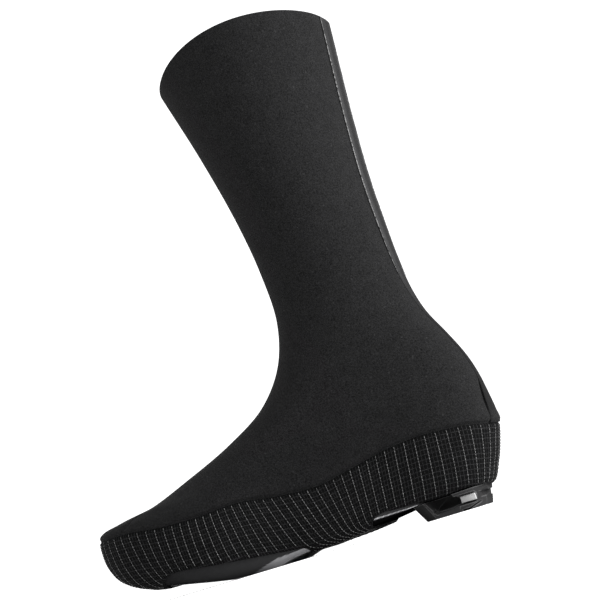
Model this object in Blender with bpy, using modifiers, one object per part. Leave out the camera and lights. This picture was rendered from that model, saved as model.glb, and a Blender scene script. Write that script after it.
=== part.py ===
"""Tall cycling overshoe, left foot, standing on the stiff sole that it is drawn over.

One form function gives the shape of the last, from the tread up to the collar.
The fabric pieces are skins over that form, and the sole is its lower end.
Metres, +X to the toe, +Y to the outer side of the foot, +Z up, floor at z = 0.
"""

import math
from collections import namedtuple

import bmesh
import bpy
from mathutils import Vector

MM = 0.001

# Driving dimensions; the tables of half widths below are drawn for one ball width and scale from it
FOOT_LENGTH = 286 * MM
BALL_HALF_WIDTH = 50 * MM
DRAWN_BALL_HALF_WIDTH = 50 * MM
UPPER_WALL = 1.5 * MM
RAND_WALL = 1.2 * MM
TAPE_WALL = 0.7 * MM
PIECE_GAP = 0.3 * MM
TURNS = 44

# Sole plate: height of its cupped rim between tread and seam, rim width, floor thickness, and the
# level between tread edge and feather where the floor meets the rim
PLATE_RIM_RISE = 0.30
PLATE_RIM_WIDTH = 2.6 * MM
PLATE_FLOOR = 4.2 * MM
PLATE_FLOOR_LEVEL = 0.4

# Openings of the rand in side view: ends as shares of the foot length, hem heights and corner
# radii in millimetres
Opening = namedtuple("Opening", "name front front_hem front_corner back back_hem back_corner")
OPENINGS = (
    Opening("forefoot_opening", 0.825, 17.4, 22.0, 0.455, 6.4, 3.0),
    Opening("heel_opening", 0.316, 13.9, 14.0, 0.050, 13.3, 2.0),
)

# Heel pad: ends as shares of the foot length, plan sizes, and the pocket scooped into each side
PAD_FRONT = 0.220
PAD_BACK = 0.056
PAD_HALF_WIDTH = 25 * MM
PAD_FRONT_CORNER = 9 * MM
PAD_BACK_CORNER = 14 * MM
PAD_FOOT_SCALE = 0.95
PAD_FRONT_RAKE = 5 * MM
PAD_BACK_RAKE = 2.5 * MM
PAD_FLANGE = 2.2 * MM
PAD_TREAD = 3.6 * MM
POCKET_FRONT = 0.172
POCKET_BACK = 0.075
POCKET_DEPTH = 7 * MM
GROOVE_SHARE = 0.100
GROOVE_WIDTH = 5 * MM
GROOVE_DEPTH = 1.2 * MM
INSERT_LENGTH = 9.5 * MM
INSERT_DEPTH = 2.6 * MM
INSERT_HEIGHT = 4.0 * MM

# Height of the sole's underside along the foot, millimetres; the ball is the flat stretch at the floor
Profile = namedtuple("Profile", "share height")
SOLE_PROFILE = (
    Profile(0.00, 13.4),
    Profile(0.04, 13.0),
    Profile(0.12, 12.2),
    Profile(0.20, 11.4),
    Profile(0.28, 8.4),
    Profile(0.36, 5.8),
    Profile(0.44, 4.4),
    Profile(0.50, 2.6),
    Profile(0.54, 0.0),
    Profile(0.62, 0.0),
    Profile(0.68, 2.2),
    Profile(0.74, 5.0),
    Profile(0.80, 7.6),
    Profile(0.87, 10.2),
    Profile(0.94, 17.1),
    Profile(1.00, 25.0),
)

# Height of the seam between rand and upper along the foot, millimetres
SEAM_PROFILE = (
    Profile(0.00, 46.5),
    Profile(0.06, 49.9),
    Profile(0.14, 51.1),
    Profile(0.22, 49.5),
    Profile(0.31, 44.4),
    Profile(0.40, 40.6),
    Profile(0.48, 42.1),
    Profile(0.585, 45.7),
    Profile(0.67, 44.3),
    Profile(0.75, 45.0),
    Profile(0.86, 48.2),
    Profile(1.00, 49.5),
)

# Plan of the foot: half widths that an ellipse would need to pass through the outline, millimetres
Outline = namedtuple("Outline", "share lateral medial centre")
FOOT_OUTLINE = (
    Outline(0.00, 66.0, 66.0, 0.0),
    Outline(0.12, 51.0, 51.0, 0.0),
    Outline(0.25, 40.5, 40.0, 0.5),
    Outline(0.45, 37.5, 34.0, 1.0),
    Outline(0.68, 53.6, 49.5, 0.0),
    Outline(0.85, 60.0, 58.0, -3.0),
    Outline(1.00, 65.0, 66.0, -6.0),
)

# Levels below the seam: toe and heel ends, rise from sole to seam, spread of the foot outline
SideLevel = namedtuple("SideLevel", "name toe heel rise spread")
SIDE_LEVELS = (
    SideLevel("tread_edge", 0.916, 0.070, 0.00, 0.74),
    SideLevel("feather", 0.977, 0.044, 0.10, 0.91),
    SideLevel("side_low", 0.994, 0.026, 0.34, 1.00),
    SideLevel("side_high", 1.000, 0.010, 0.70, 1.02),
)

# Levels from the seam to the collar: front and back line (shares, millimetres), half widths
# (millimetres), share of the foot outline still in the level, and height gained at the sides
UpperLevel = namedtuple("UpperLevel", "name front front_z back back_z lateral medial foot bow")
UPPER_LEVELS = (
    UpperLevel("seam", 0.998, 49.5, 0.001, 46.5, 50, 50, 1.00, 0),
    UpperLevel("toe_roll", 0.986, 52.4, 0.002, 54.5, 46, 46, 0.97, 0),
    UpperLevel("toe_top", 0.944, 55.1, 0.006, 64.5, 44, 44, 0.85, 0),
    UpperLevel("vamp_low", 0.860, 57.7, 0.012, 78.5, 41, 41, 0.65, 0),
    UpperLevel("vamp_mid", 0.745, 67.8, 0.026, 92.5, 38, 38, 0.45, 0),
    UpperLevel("vamp_high", 0.623, 80.2, 0.051, 108.5, 37, 37, 0.28, 0),
    UpperLevel("instep", 0.512, 96.2, 0.083, 127.0, 37, 37, 0.14, 0),
    UpperLevel("ankle", 0.440, 119.0, 0.101, 145.0, 37.5, 37.5, 0.05, 0),
    UpperLevel("narrow", 0.407, 148.0, 0.110, 165.0, 38, 38, 0.00, 0),
    UpperLevel("shaft_low", 0.409, 183.0, 0.116, 191.0, 42, 42, 0.00, 0),
    UpperLevel("shaft_mid", 0.427, 220.0, 0.120, 223.0, 48, 48, 0.00, 2),
    UpperLevel("shaft_high", 0.467, 269.0, 0.115, 270.0, 54, 54, 0.00, 5),
    UpperLevel("collar", 0.518, 319.0, 0.101, 331.5, 58, 58, 0.00, 8),
)

# Half width of the back tape, millimetres, from the seam (share 0) up to the collar (share 1)
TapeWidth = namedtuple("TapeWidth", "share half_width")
TAPE_WIDTHS = (
    TapeWidth(0.00, 11.3),
    TapeWidth(0.15, 7.6),
    TapeWidth(0.24, 4.2),
    TapeWidth(0.40, 3.6),
    TapeWidth(0.55, 5.8),
    TapeWidth(0.66, 8.3),
    TapeWidth(0.80, 9.4),
    TapeWidth(1.00, 8.6),
)

# Steps between neighbouring levels, from the seam up and from the tread edge up
UPPER_STEPS = (1, 1, 2, 2, 2, 2, 2, 2, 3, 3, 3, 3)
SIDE_STEPS = (2, 2, 2, 1)

LEVEL_NAMES = [row.name for row in SIDE_LEVELS + UPPER_LEVELS]
SEAM_LEVEL = LEVEL_NAMES.index("seam")
COLLAR_LEVEL = LEVEL_NAMES.index("collar")

# Colours (linear), roughness and metallic value of each material
Finish = namedtuple("Finish", "name colour roughness metallic")
SOFTSHELL = Finish("black_softshell", (0.016, 0.016, 0.017), 0.85, 0.0)
RIPSTOP = Finish("black_ripstop", (0.008, 0.008, 0.009), 0.70, 0.0)
TAPE = Finish("grey_back_tape", (0.05, 0.05, 0.052), 0.55, 0.0)
SOLE = Finish("dark_sole", (0.03, 0.03, 0.032), 0.30, 0.0)
PAD = Finish("dark_pad_plastic", (0.05, 0.05, 0.052), 0.40, 0.0)
INSERT = Finish("pale_insert_plastic", (0.42, 0.42, 0.43), 0.45, 0.0)


def table_value(rows, key, share):
    """Value of one column at a share of the length, by a monotone cubic through the rows."""
    xs = [row.share for row in rows]
    ys = [getattr(row, key) for row in rows]
    share = min(max(share, xs[0]), xs[-1])
    steps = [b - a for a, b in zip(xs, xs[1:])]
    slopes = [(b - a) / step for a, b, step in zip(ys, ys[1:], steps)]
    i = max(k for k in range(len(steps)) if xs[k] <= share)

    def tangent(k):
        if k in (0, len(steps)):
            return slopes[min(k, len(slopes) - 1)]
        before, after = slopes[k - 1], slopes[k]
        if before * after <= 0:
            return 0.0
        return 2 * before * after / (before + after)

    t = (share - xs[i]) / steps[i]
    rise = (3 - 2 * t) * t * t
    start = t * (1 - t) ** 2 * tangent(i)
    end = t * t * (t - 1) * tangent(i + 1)
    return ys[i] + (ys[i + 1] - ys[i]) * rise + (start + end) * steps[i]


def foot_x(share):
    """Place along the foot: share 0 is the back of the heel and share 1 the tip of the toe."""
    return (share - 0.5) * FOOT_LENGTH


def sole_height(share):
    """Underside of the form, a piece gap below the sole that it carries."""
    return table_value(SOLE_PROFILE, "height", share) * MM - PIECE_GAP


def seam_height(share):
    """Height of the seam between rand and upper."""
    return table_value(SEAM_PROFILE, "height", share) * MM


def blend(a, b, share):
    return a + (b - a) * share


def plan_y(share, turn, spread, lateral, medial, foot):
    """Sideways place of an outline point: the foot's own plan mixed with an ellipse."""
    side = "lateral" if math.sin(turn) >= 0 else "medial"
    ellipse = lateral if side == "lateral" else medial
    outline = table_value(FOOT_OUTLINE, side, share) * spread
    centre = table_value(FOOT_OUTLINE, "centre", share) * foot
    scale = BALL_HALF_WIDTH / DRAWN_BALL_HALF_WIDTH
    return (centre + math.sin(turn) * blend(ellipse, outline, foot)) * MM * scale


def level_point(level, turn):
    """Point of one level; turn 0 is the toe, a quarter turn the outer side, half a turn the heel."""
    run = (1 + math.cos(turn)) / 2
    if level < SEAM_LEVEL:
        row = SIDE_LEVELS[level]
        share = blend(row.heel, row.toe, run)
        low = sole_height(share)
        height = blend(low, seam_height(share), row.rise)
        y = plan_y(run, turn, row.spread, 0.0, 0.0, 1.0)
        return Vector((foot_x(share), y, height))
    row = UPPER_LEVELS[level - SEAM_LEVEL]
    share = blend(row.back, row.front, run)
    straight = blend(row.back_z, row.front_z, run) * MM
    seam_wave = seam_height(run) - blend(seam_height(0.0), seam_height(1.0), run)
    bow = row.bow * MM * math.sin(turn) ** 2
    y = plan_y(run, turn, 1.0, row.lateral, row.medial, row.foot)
    return Vector((foot_x(share), y, straight + seam_wave * row.foot + bow))


def form_point(level, turn):
    """Point of the form between levels, by a centripetal spline through the levels."""
    last = len(LEVEL_NAMES) - 1
    low = min(max(int(math.floor(level)), 0), last - 1)
    points = [level_point(min(max(k, 0), last), turn) for k in range(low - 1, low + 3)]
    if low == 0:
        points[0] = points[1] * 2 - points[2]
    if low + 1 == last:
        points[3] = points[2] * 2 - points[1]
    knots = [0.0]
    for a, b in zip(points, points[1:]):
        knots.append(knots[-1] + max((b - a).length, 1e-6) ** 0.5)
    t = blend(knots[1], knots[2], level - low)

    def mix(a, b, ta, tb):
        return a * ((tb - t) / (tb - ta)) + b * ((t - ta) / (tb - ta))

    a1 = mix(points[0], points[1], knots[0], knots[1])
    a2 = mix(points[1], points[2], knots[1], knots[2])
    a3 = mix(points[2], points[3], knots[2], knots[3])
    b1 = mix(a1, a2, knots[0], knots[2])
    b2 = mix(a2, a3, knots[1], knots[3])
    return mix(b1, b2, knots[1], knots[2])


def form_frame(level, turn):
    """Point, outward normal and upward direction of the form."""
    step = 0.01
    around = form_point(level, turn + step) - form_point(level, turn - step)
    up = form_point(level + step, turn) - form_point(level - step, turn)
    normal = around.cross(up).normalized()
    return form_point(level, turn), normal, up / (2 * step)


def skin_point(level, turn, out=0.0, slide=0.0):
    """Point at a distance out from the form, slid along it towards the collar."""
    point, normal, up = form_frame(level, turn)
    return point + normal * out + up.normalized() * slide


def turn_angles():
    return [2 * math.pi * k / TURNS for k in range(TURNS)]


def stepped_levels(first, steps):
    """Levels from one row on, with the given number of steps in each interval."""
    levels = []
    for k, count in enumerate(steps):
        levels += [first + k + j / count for j in range(count)]
    return levels + [first + len(steps)]


def new_material(finish):
    material = bpy.data.materials.new(finish.name)
    material.use_nodes = True
    shader = material.node_tree.nodes["Principled BSDF"]
    shader.inputs["Base Color"].default_value = (*finish.colour, 1.0)
    shader.inputs["Roughness"].default_value = finish.roughness
    shader.inputs["Metallic"].default_value = finish.metallic
    return material


def new_object(name, bm, collection, finish=None):
    """Object from a bmesh, shaded smooth apart from its real edges."""
    bm.normal_update()
    bmesh.ops.recalc_face_normals(bm, faces=bm.faces[:])
    mesh = bpy.data.meshes.new(name)
    bm.to_mesh(mesh)
    bm.free()
    mesh.shade_smooth()
    mesh.set_sharp_from_angle(angle=math.radians(40))
    item = bpy.data.objects.new(name, mesh)
    collection.objects.link(item)
    if finish:
        mesh.materials.append(new_material(finish))
    return item


def new_cutter(name, bm, collection):
    cutter = new_object(name, bm, collection)
    cutter.hide_render = True
    cutter.display_type = "WIRE"
    return cutter


def bridge(bm, ring_a, ring_b, closed=True):
    """Quads between two rings of the same number of points."""
    count = len(ring_a)
    for k in range(count if closed else count - 1):
        j = (k + 1) % count
        bm.faces.new((ring_a[k], ring_a[j], ring_b[j], ring_b[k]))


def ladder(bm, ring):
    """Closes a ring with rungs from each outer point to its inner twin."""
    half = len(ring) // 2
    twin = [ring[-k] for k in range(half + 1)]
    for k in range(half):
        corners = (ring[k], ring[k + 1], twin[k + 1], twin[k])
        bm.faces.new(tuple(dict.fromkeys(corners)))


def add_ring(bm, points):
    return [bm.verts.new(point) for point in points]


def add_solidify(item, thickness):
    """Wall of a skin, grown outward from the form."""
    modifier = item.modifiers.new("Wall", "SOLIDIFY")
    modifier.thickness = thickness
    modifier.offset = 1.0
    modifier.use_even_offset = True


def add_cut(item, cutter, name):
    modifier = item.modifiers.new(name, "BOOLEAN")
    modifier.operation = "DIFFERENCE"
    modifier.solver = "EXACT"
    modifier.object = cutter


def make_upper(collection):
    """Stretch sleeve: one hollow wall from the rand's seam to the collar."""
    bm = bmesh.new()
    rings = []
    for level in stepped_levels(SEAM_LEVEL, UPPER_STEPS):
        slide = PIECE_GAP / 2 if level == SEAM_LEVEL else 0.0
        rings.append(add_ring(bm, [skin_point(level, turn, 0.0, slide) for turn in turn_angles()]))
    for low, high in zip(rings, rings[1:]):
        bridge(bm, low, high)
    upper = new_object("upper", bm, collection, SOFTSHELL)
    add_solidify(upper, UPPER_WALL)
    return upper


def make_opening_cutter(opening, collection):
    """Block through the foot from side to side, with rounded corners at the hem."""
    reach = 2 * BALL_HALF_WIDTH
    ends = {True: (opening.front, opening.front_hem), False: (opening.back, opening.back_hem)}
    bm = bmesh.new()
    bmesh.ops.create_cube(bm, size=1.0)
    for vert in bm.verts:
        share, hem = ends[vert.co.x > 0]
        vert.co.x = foot_x(share)
        vert.co.y = math.copysign(reach, vert.co.y)
        vert.co.z = hem * MM if vert.co.z > 0 else -reach / 4
    for share, corner in ((opening.front, opening.front_corner), (opening.back, opening.back_corner)):
        x = foot_x(share)
        edges = [e for e in bm.edges if all(abs(v.co.x - x) < MM and v.co.z > 0 for v in e.verts)]
        bmesh.ops.bevel(bm, geom=edges, offset=corner * MM, segments=5, affect="EDGES", profile=0.5)
    return new_cutter(opening.name, bm, collection)


def make_rand(collection, cutters):
    """Ripstop band: sides and underside of the foot in one wall, cut open at forefoot and heel."""
    bm = bmesh.new()
    rings = []
    for level in stepped_levels(0, SIDE_STEPS):
        slide = -PIECE_GAP / 2 if level == SEAM_LEVEL else 0.0
        rings.append(add_ring(bm, [skin_point(level, turn, 0.0, slide) for turn in turn_angles()]))
    for low, high in zip(rings, rings[1:]):
        bridge(bm, low, high)
    ladder(bm, rings[0])
    rand = new_object("rand", bm, collection, RIPSTOP)
    add_solidify(rand, RAND_WALL)
    for opening in OPENINGS:
        add_cut(rand, make_opening_cutter(opening, cutters), opening.name)
    return rand


def tape_turn(level, across):
    """Turn at which the back of the form lies a given distance to the outer side of its middle."""
    low, high = math.pi / 2, math.pi
    middle = form_point(level, math.pi)
    for _ in range(40):
        turn = (low + high) / 2
        if form_point(level, turn).y - middle.y > across:
            low = turn
        else:
            high = turn
    return (low + high) / 2


def make_back_tape(collection):
    """Tape over the back seam from the rand to the collar, lying on the upper."""
    out = UPPER_WALL + PIECE_GAP
    end_slides = {SEAM_LEVEL: PIECE_GAP, COLLAR_LEVEL: -PIECE_GAP}
    bm = bmesh.new()
    rings = []
    for level in stepped_levels(SEAM_LEVEL, UPPER_STEPS):
        share = (level - SEAM_LEVEL) / (COLLAR_LEVEL - SEAM_LEVEL)
        half_width = table_value(TAPE_WIDTHS, "half_width", share) * MM
        half = [tape_turn(level, half_width), tape_turn(level, half_width / 2)]
        turns = half + [math.pi] + [2 * math.pi - turn for turn in reversed(half)]
        slide = end_slides.get(level, 0.0)
        rings.append(add_ring(bm, [skin_point(level, turn, out, slide) for turn in turns]))
    for low, high in zip(rings, rings[1:]):
        bridge(bm, low, high, closed=False)
    tape = new_object("back_tape", bm, collection, TAPE)
    add_solidify(tape, TAPE_WALL)
    return tape


def rim_level():
    """Level at which the sole plate's cupped rim ends."""
    low, high = SIDE_LEVELS[1], SIDE_LEVELS[2]
    return 1 + (PLATE_RIM_RISE - low.rise) / (high.rise - low.rise)


def plate_point(level, turn, depth, rise):
    """Point inside the form, set a rise above the sole's underside at that place along the foot."""
    point = skin_point(level, turn, -depth)
    point.z = sole_height(point.x / FOOT_LENGTH + 0.5) + PIECE_GAP + rise
    return point


def make_sole_plate(collection):
    """Stiff sole: flat at the ball, sprung at the toe, arched, with a rim cupped up the foot's side."""
    inner = PIECE_GAP + PLATE_RIM_WIDTH
    rim = rim_level()
    turns = turn_angles()
    bm = bmesh.new()
    rings = [add_ring(bm, [plate_point(0, turn, PIECE_GAP, 0.0) for turn in turns])]
    for level in (0.5, 1, (1 + rim) / 2, rim):
        rings.append(add_ring(bm, [skin_point(level, turn, -PIECE_GAP) for turn in turns]))
    rings.append(add_ring(bm, [skin_point(rim, turn, -inner) for turn in turns]))
    rings.append(add_ring(bm, [plate_point(PLATE_FLOOR_LEVEL, turn, inner, PLATE_FLOOR) for turn in turns]))
    for low, high in zip(rings, rings[1:]):
        bridge(bm, low, high)
    ladder(bm, rings[0])
    ladder(bm, rings[-1])
    return new_object("sole_plate", bm, collection, SOLE)


def box_mesh(corner_a, corner_b):
    """Box between two opposite corners."""
    bm = bmesh.new()
    bmesh.ops.create_cube(bm, size=1.0)
    middle = (corner_a + corner_b) / 2
    size = [abs(b - a) for a, b in zip(corner_a, corner_b)]
    for vert in bm.verts:
        vert.co = middle + Vector(a * b for a, b in zip(vert.co, size))
    return bm


def pad_outline(scale, front_rake, back_rake):
    """Plan of the pad: cut corners at the front, round ones at the back, each end drawn in by a rake."""
    front = foot_x(PAD_FRONT) - front_rake
    back = foot_x(PAD_BACK) + back_rake
    middle = (front + back) / 2
    half = [(front, PAD_HALF_WIDTH - PAD_FRONT_CORNER), (front - PAD_FRONT_CORNER, PAD_HALF_WIDTH)]
    for k in range(7):
        angle = math.pi / 2 * (1 + k / 6)
        x = back + PAD_BACK_CORNER * (1 + math.cos(angle))
        half.append((x, PAD_HALF_WIDTH - PAD_BACK_CORNER * (1 - math.sin(angle))))
    plan = half + [(x, -y) for x, y in reversed(half)]
    return [(middle + (x - middle) * scale, y * scale) for x, y in plan]


def pad_top(x):
    """Top of the pad, a piece gap under the sole plate."""
    return sole_height(x / FOOT_LENGTH + 0.5)


def pocket_box(side, front, back, depth, clearance):
    """Box in the pad's side between its tread and its flange, reaching out past the side."""
    low = Vector((foot_x(back), side * (PAD_HALF_WIDTH - depth), PAD_TREAD + clearance))
    top = pad_top(foot_x(front)) - PAD_FLANGE - clearance
    return box_mesh(low, Vector((foot_x(front), side * 2 * PAD_HALF_WIDTH, top)))


def make_heel_pad(collection, cutters):
    """Tread pad under the heel, flat on the floor, with a pocket in each side and a cross groove."""
    bm = bmesh.new()
    foot = add_ring(bm, [(x, y, 0.0) for x, y in pad_outline(PAD_FOOT_SCALE, PAD_FRONT_RAKE, PAD_BACK_RAKE)])
    head = add_ring(bm, [(x, y, pad_top(x)) for x, y in pad_outline(1.0, 0.0, 0.0)])
    bridge(bm, foot, head)
    bm.faces.new(foot)
    for k in range(len(head) // 2 - 1):
        bm.faces.new((head[k], head[k + 1], head[-k - 2], head[-k - 1]))
    pad = new_object("heel_pad", bm, collection, PAD)
    for side, name in ((1, "outer_pocket"), (-1, "inner_pocket")):
        pocket = pocket_box(side, POCKET_FRONT, POCKET_BACK, POCKET_DEPTH, 0.0)
        add_cut(pad, new_cutter(name, pocket, cutters), name)
    centre = foot_x(GROOVE_SHARE)
    groove = box_mesh(
        Vector((centre - GROOVE_WIDTH / 2, -2 * PAD_HALF_WIDTH, -GROOVE_DEPTH)),
        Vector((centre + GROOVE_WIDTH / 2, 2 * PAD_HALF_WIDTH, GROOVE_DEPTH)),
    )
    add_cut(pad, new_cutter("tread_groove", groove, cutters), "tread_groove")
    return pad


def make_pad_inserts(collection):
    """Pale plug at the back of each pocket, seated a gap inside its roof and walls."""
    inserts = []
    for side, name in ((1, "heel_pad_insert_outer"), (-1, "heel_pad_insert_inner")):
        back = foot_x(POCKET_BACK) + PIECE_GAP
        inner = side * (PAD_HALF_WIDTH - POCKET_DEPTH + PIECE_GAP)
        top = pad_top(foot_x(POCKET_FRONT)) - PAD_FLANGE - PIECE_GAP
        bm = box_mesh(
            Vector((back, inner, top - INSERT_HEIGHT)),
            Vector((back + INSERT_LENGTH, inner + side * INSERT_DEPTH, top)),
        )
        inserts.append(new_object(name, bm, collection, INSERT))
    return inserts


def centre_on_floor(root, pieces):
    """Moves the whole shoe so that its box stands centred over the origin."""
    view = bpy.context.evaluated_depsgraph_get()
    corners = [Vector(c) for piece in pieces for c in piece.evaluated_get(view).bound_box]
    for axis in range(2):
        low = min(corner[axis] for corner in corners)
        high = max(corner[axis] for corner in corners)
        root.location[axis] = -(low + high) / 2


def new_collection(name):
    collection = bpy.data.collections.new(name)
    bpy.context.scene.collection.children.link(collection)
    return collection


def clear_scene():
    for item in list(bpy.data.objects):
        bpy.data.objects.remove(item, do_unlink=True)


def main():
    clear_scene()
    parts = new_collection("cycling_overshoe")
    cutters = new_collection("cutters")
    pieces = [
        make_upper(parts),
        make_rand(parts, cutters),
        make_back_tape(parts),
        make_sole_plate(parts),
        make_heel_pad(parts, cutters),
        *make_pad_inserts(parts),
    ]
    root = bpy.data.objects.new("overshoe", None)
    parts.objects.link(root)
    centre_on_floor(root, pieces)
    for item in pieces + list(cutters.objects):
        item.parent = root


main()
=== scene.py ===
"""Looks of a tall black cycling overshoe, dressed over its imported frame.

The fabric pieces follow the same form as the solids, at a finer step: levels run from the tread
edge up to the collar, and turns run around the foot, from the toe over the outer side to the heel.
Metres, +X to the toe, +Y to the outer side of the foot, +Z up, floor at z = 0.
"""

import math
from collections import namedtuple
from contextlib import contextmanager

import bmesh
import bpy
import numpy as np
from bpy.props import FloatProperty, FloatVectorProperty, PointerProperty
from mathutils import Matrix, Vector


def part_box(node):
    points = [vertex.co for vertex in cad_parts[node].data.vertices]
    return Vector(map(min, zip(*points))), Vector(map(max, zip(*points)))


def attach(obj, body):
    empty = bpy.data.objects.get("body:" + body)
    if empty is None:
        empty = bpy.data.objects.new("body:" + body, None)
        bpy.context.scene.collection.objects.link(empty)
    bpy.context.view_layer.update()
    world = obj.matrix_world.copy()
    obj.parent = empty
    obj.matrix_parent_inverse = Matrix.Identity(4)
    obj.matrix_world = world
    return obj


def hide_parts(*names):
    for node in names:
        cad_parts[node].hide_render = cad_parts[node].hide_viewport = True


bl_info = {
    "name": "Cycling overshoe",
    "version": (1, 0, 0),
    "blender": (4, 5, 0),
    "location": "View3D > Sidebar > Overshoe",
    "description": "Dresses the frame of a tall cycling overshoe and sets its studio stage",
    "category": "Object",
}

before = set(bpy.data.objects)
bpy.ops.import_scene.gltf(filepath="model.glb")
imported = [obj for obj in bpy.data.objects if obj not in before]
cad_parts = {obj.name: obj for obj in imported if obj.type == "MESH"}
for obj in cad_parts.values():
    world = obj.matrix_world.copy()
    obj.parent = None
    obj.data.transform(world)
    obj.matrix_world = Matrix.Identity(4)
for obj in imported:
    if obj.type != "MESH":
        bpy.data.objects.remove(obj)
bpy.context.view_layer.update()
BODY = "root"

MM = 0.001

# Sizes of the last that the solids share
FOOT_LENGTH = 286 * MM
UPPER_WALL = 1.5 * MM
RAND_WALL = 1.2 * MM
TAPE_WALL = 0.7 * MM
PIECE_GAP = 0.3 * MM
PAD_FRONT = 0.220

# Points nearer than this are one point, and faces flatter than this are one face
WELD = 0.01 * MM
FLAT_ANGLE = math.radians(1)

# Height along the foot, millimetres: underside of the sole, and seam between rand and upper
Profile = namedtuple("Profile", "share height")
SOLE_PROFILE = (
    Profile(0.00, 13.4),
    Profile(0.04, 13.0),
    Profile(0.12, 12.2),
    Profile(0.20, 11.4),
    Profile(0.28, 8.4),
    Profile(0.36, 5.8),
    Profile(0.44, 4.4),
    Profile(0.50, 2.6),
    Profile(0.54, 0.0),
    Profile(0.62, 0.0),
    Profile(0.68, 2.2),
    Profile(0.74, 5.0),
    Profile(0.80, 7.6),
    Profile(0.87, 10.2),
    Profile(0.94, 17.1),
    Profile(1.00, 25.0),
)
SEAM_PROFILE = (
    Profile(0.00, 46.5),
    Profile(0.06, 49.9),
    Profile(0.14, 51.1),
    Profile(0.22, 49.5),
    Profile(0.31, 44.4),
    Profile(0.40, 40.6),
    Profile(0.48, 42.1),
    Profile(0.585, 45.7),
    Profile(0.67, 44.3),
    Profile(0.75, 45.0),
    Profile(0.86, 48.2),
    Profile(1.00, 49.5),
)

# Plan of the foot: half widths that an ellipse would need to pass through the outline, millimetres
Outline = namedtuple("Outline", "share lateral medial centre")
FOOT_OUTLINE = (
    Outline(0.00, 66.0, 66.0, 0.0),
    Outline(0.12, 51.0, 51.0, 0.0),
    Outline(0.25, 40.5, 40.0, 0.5),
    Outline(0.45, 37.5, 34.0, 1.0),
    Outline(0.68, 53.6, 49.5, 0.0),
    Outline(0.85, 60.0, 58.0, -3.0),
    Outline(1.00, 65.0, 66.0, -6.0),
)

# Levels below the seam: toe and heel ends, rise from sole to seam, spread of the foot outline
SideLevel = namedtuple("SideLevel", "name toe heel rise spread")
SIDE_LEVELS = (
    SideLevel("tread_edge", 0.916, 0.070, 0.00, 0.74),
    SideLevel("feather", 0.977, 0.044, 0.10, 0.91),
    SideLevel("side_low", 0.994, 0.026, 0.34, 1.00),
    SideLevel("side_high", 1.000, 0.010, 0.70, 1.02),
)

# Levels from the seam to the collar: front and back line (shares, millimetres), half width
# (millimetres), share of the foot outline still in the level, and height gained at the sides
UpperLevel = namedtuple("UpperLevel", "name front front_z back back_z half foot bow")
UPPER_LEVELS = (
    UpperLevel("seam", 0.998, 49.5, 0.001, 46.5, 50, 1.00, 0),
    UpperLevel("toe_roll", 0.986, 52.4, 0.002, 54.5, 46, 0.97, 0),
    UpperLevel("toe_top", 0.944, 55.1, 0.006, 64.5, 44, 0.85, 0),
    UpperLevel("vamp_low", 0.860, 57.7, 0.012, 78.5, 41, 0.65, 0),
    UpperLevel("vamp_mid", 0.745, 67.8, 0.026, 92.5, 38, 0.45, 0),
    UpperLevel("vamp_high", 0.623, 80.2, 0.051, 108.5, 37, 0.28, 0),
    UpperLevel("instep", 0.512, 96.2, 0.083, 127.0, 37, 0.14, 0),
    UpperLevel("ankle", 0.440, 119.0, 0.101, 145.0, 37.5, 0.05, 0),
    UpperLevel("narrow", 0.407, 148.0, 0.110, 165.0, 38, 0.00, 0),
    UpperLevel("shaft_low", 0.409, 183.0, 0.116, 191.0, 42, 0.00, 0),
    UpperLevel("shaft_mid", 0.427, 220.0, 0.120, 223.0, 48, 0.00, 2),
    UpperLevel("shaft_high", 0.467, 269.0, 0.115, 270.0, 54, 0.00, 5),
    UpperLevel("collar", 0.518, 319.0, 0.101, 331.5, 58, 0.00, 8),
)
LEVEL_NAMES = [row.name for row in SIDE_LEVELS + UPPER_LEVELS]
SEAM_LEVEL = LEVEL_NAMES.index("seam")
COLLAR_LEVEL = LEVEL_NAMES.index("collar")

# Half width of the back tape, millimetres, from the seam (share 0) up to the collar (share 1)
TapeWidth = namedtuple("TapeWidth", "share half_width")
TAPE_WIDTHS = (
    TapeWidth(0.00, 11.3),
    TapeWidth(0.15, 7.6),
    TapeWidth(0.24, 4.2),
    TapeWidth(0.40, 3.6),
    TapeWidth(0.55, 5.8),
    TapeWidth(0.66, 8.3),
    TapeWidth(0.80, 9.4),
    TapeWidth(1.00, 8.6),
)

# Openings of the rand in side view: ends as shares of the foot length, hem heights and corner
# radii in millimetres
Opening = namedtuple("Opening", "name front front_hem front_corner back back_hem back_corner")
OPENINGS = (
    Opening("forefoot_opening", 0.825, 17.4, 22.0, 0.455, 6.4, 3.0),
    Opening("heel_opening", 0.316, 13.9, 14.0, 0.050, 13.3, 2.0),
)

# Reflective threads by share of the foot: distance to the next one at the seam, millimetres, and
# drift along the band for each step down it
Thread = namedtuple("Thread", "share spacing drift")
THREADS = (
    Thread(0.00, 6.7, 0.00),
    Thread(0.02, 7.5, -0.12),
    Thread(0.05, 7.8, -0.20),
    Thread(0.09, 6.9, -0.18),
    Thread(0.20, 6.6, -0.11),
    Thread(0.26, 6.2, -0.12),
    Thread(0.32, 6.1, -0.21),
    Thread(0.40, 6.2, -0.44),
    Thread(0.47, 5.9, -0.54),
    Thread(0.54, 5.1, -0.43),
    Thread(0.60, 4.7, -0.26),
    Thread(0.66, 5.2, -0.16),
    Thread(0.71, 6.1, -0.12),
    Thread(0.80, 7.8, -0.22),
    Thread(0.86, 8.3, -0.30),
    Thread(0.93, 8.4, -0.20),
    Thread(1.00, 8.4, 0.00),
)


def mix(a, b, share):
    return a + (b - a) * share


def foot_x(share):
    """Place along the foot: share 0 is the back of the heel and share 1 the tip of the toe."""
    return (share - 0.5) * FOOT_LENGTH + FORM_SHIFT


# The heel pad's front edge shows how far the solids were moved to stand over the origin
FORM_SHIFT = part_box("heel_pad")[1].x - (PAD_FRONT - 0.5) * FOOT_LENGTH


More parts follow.
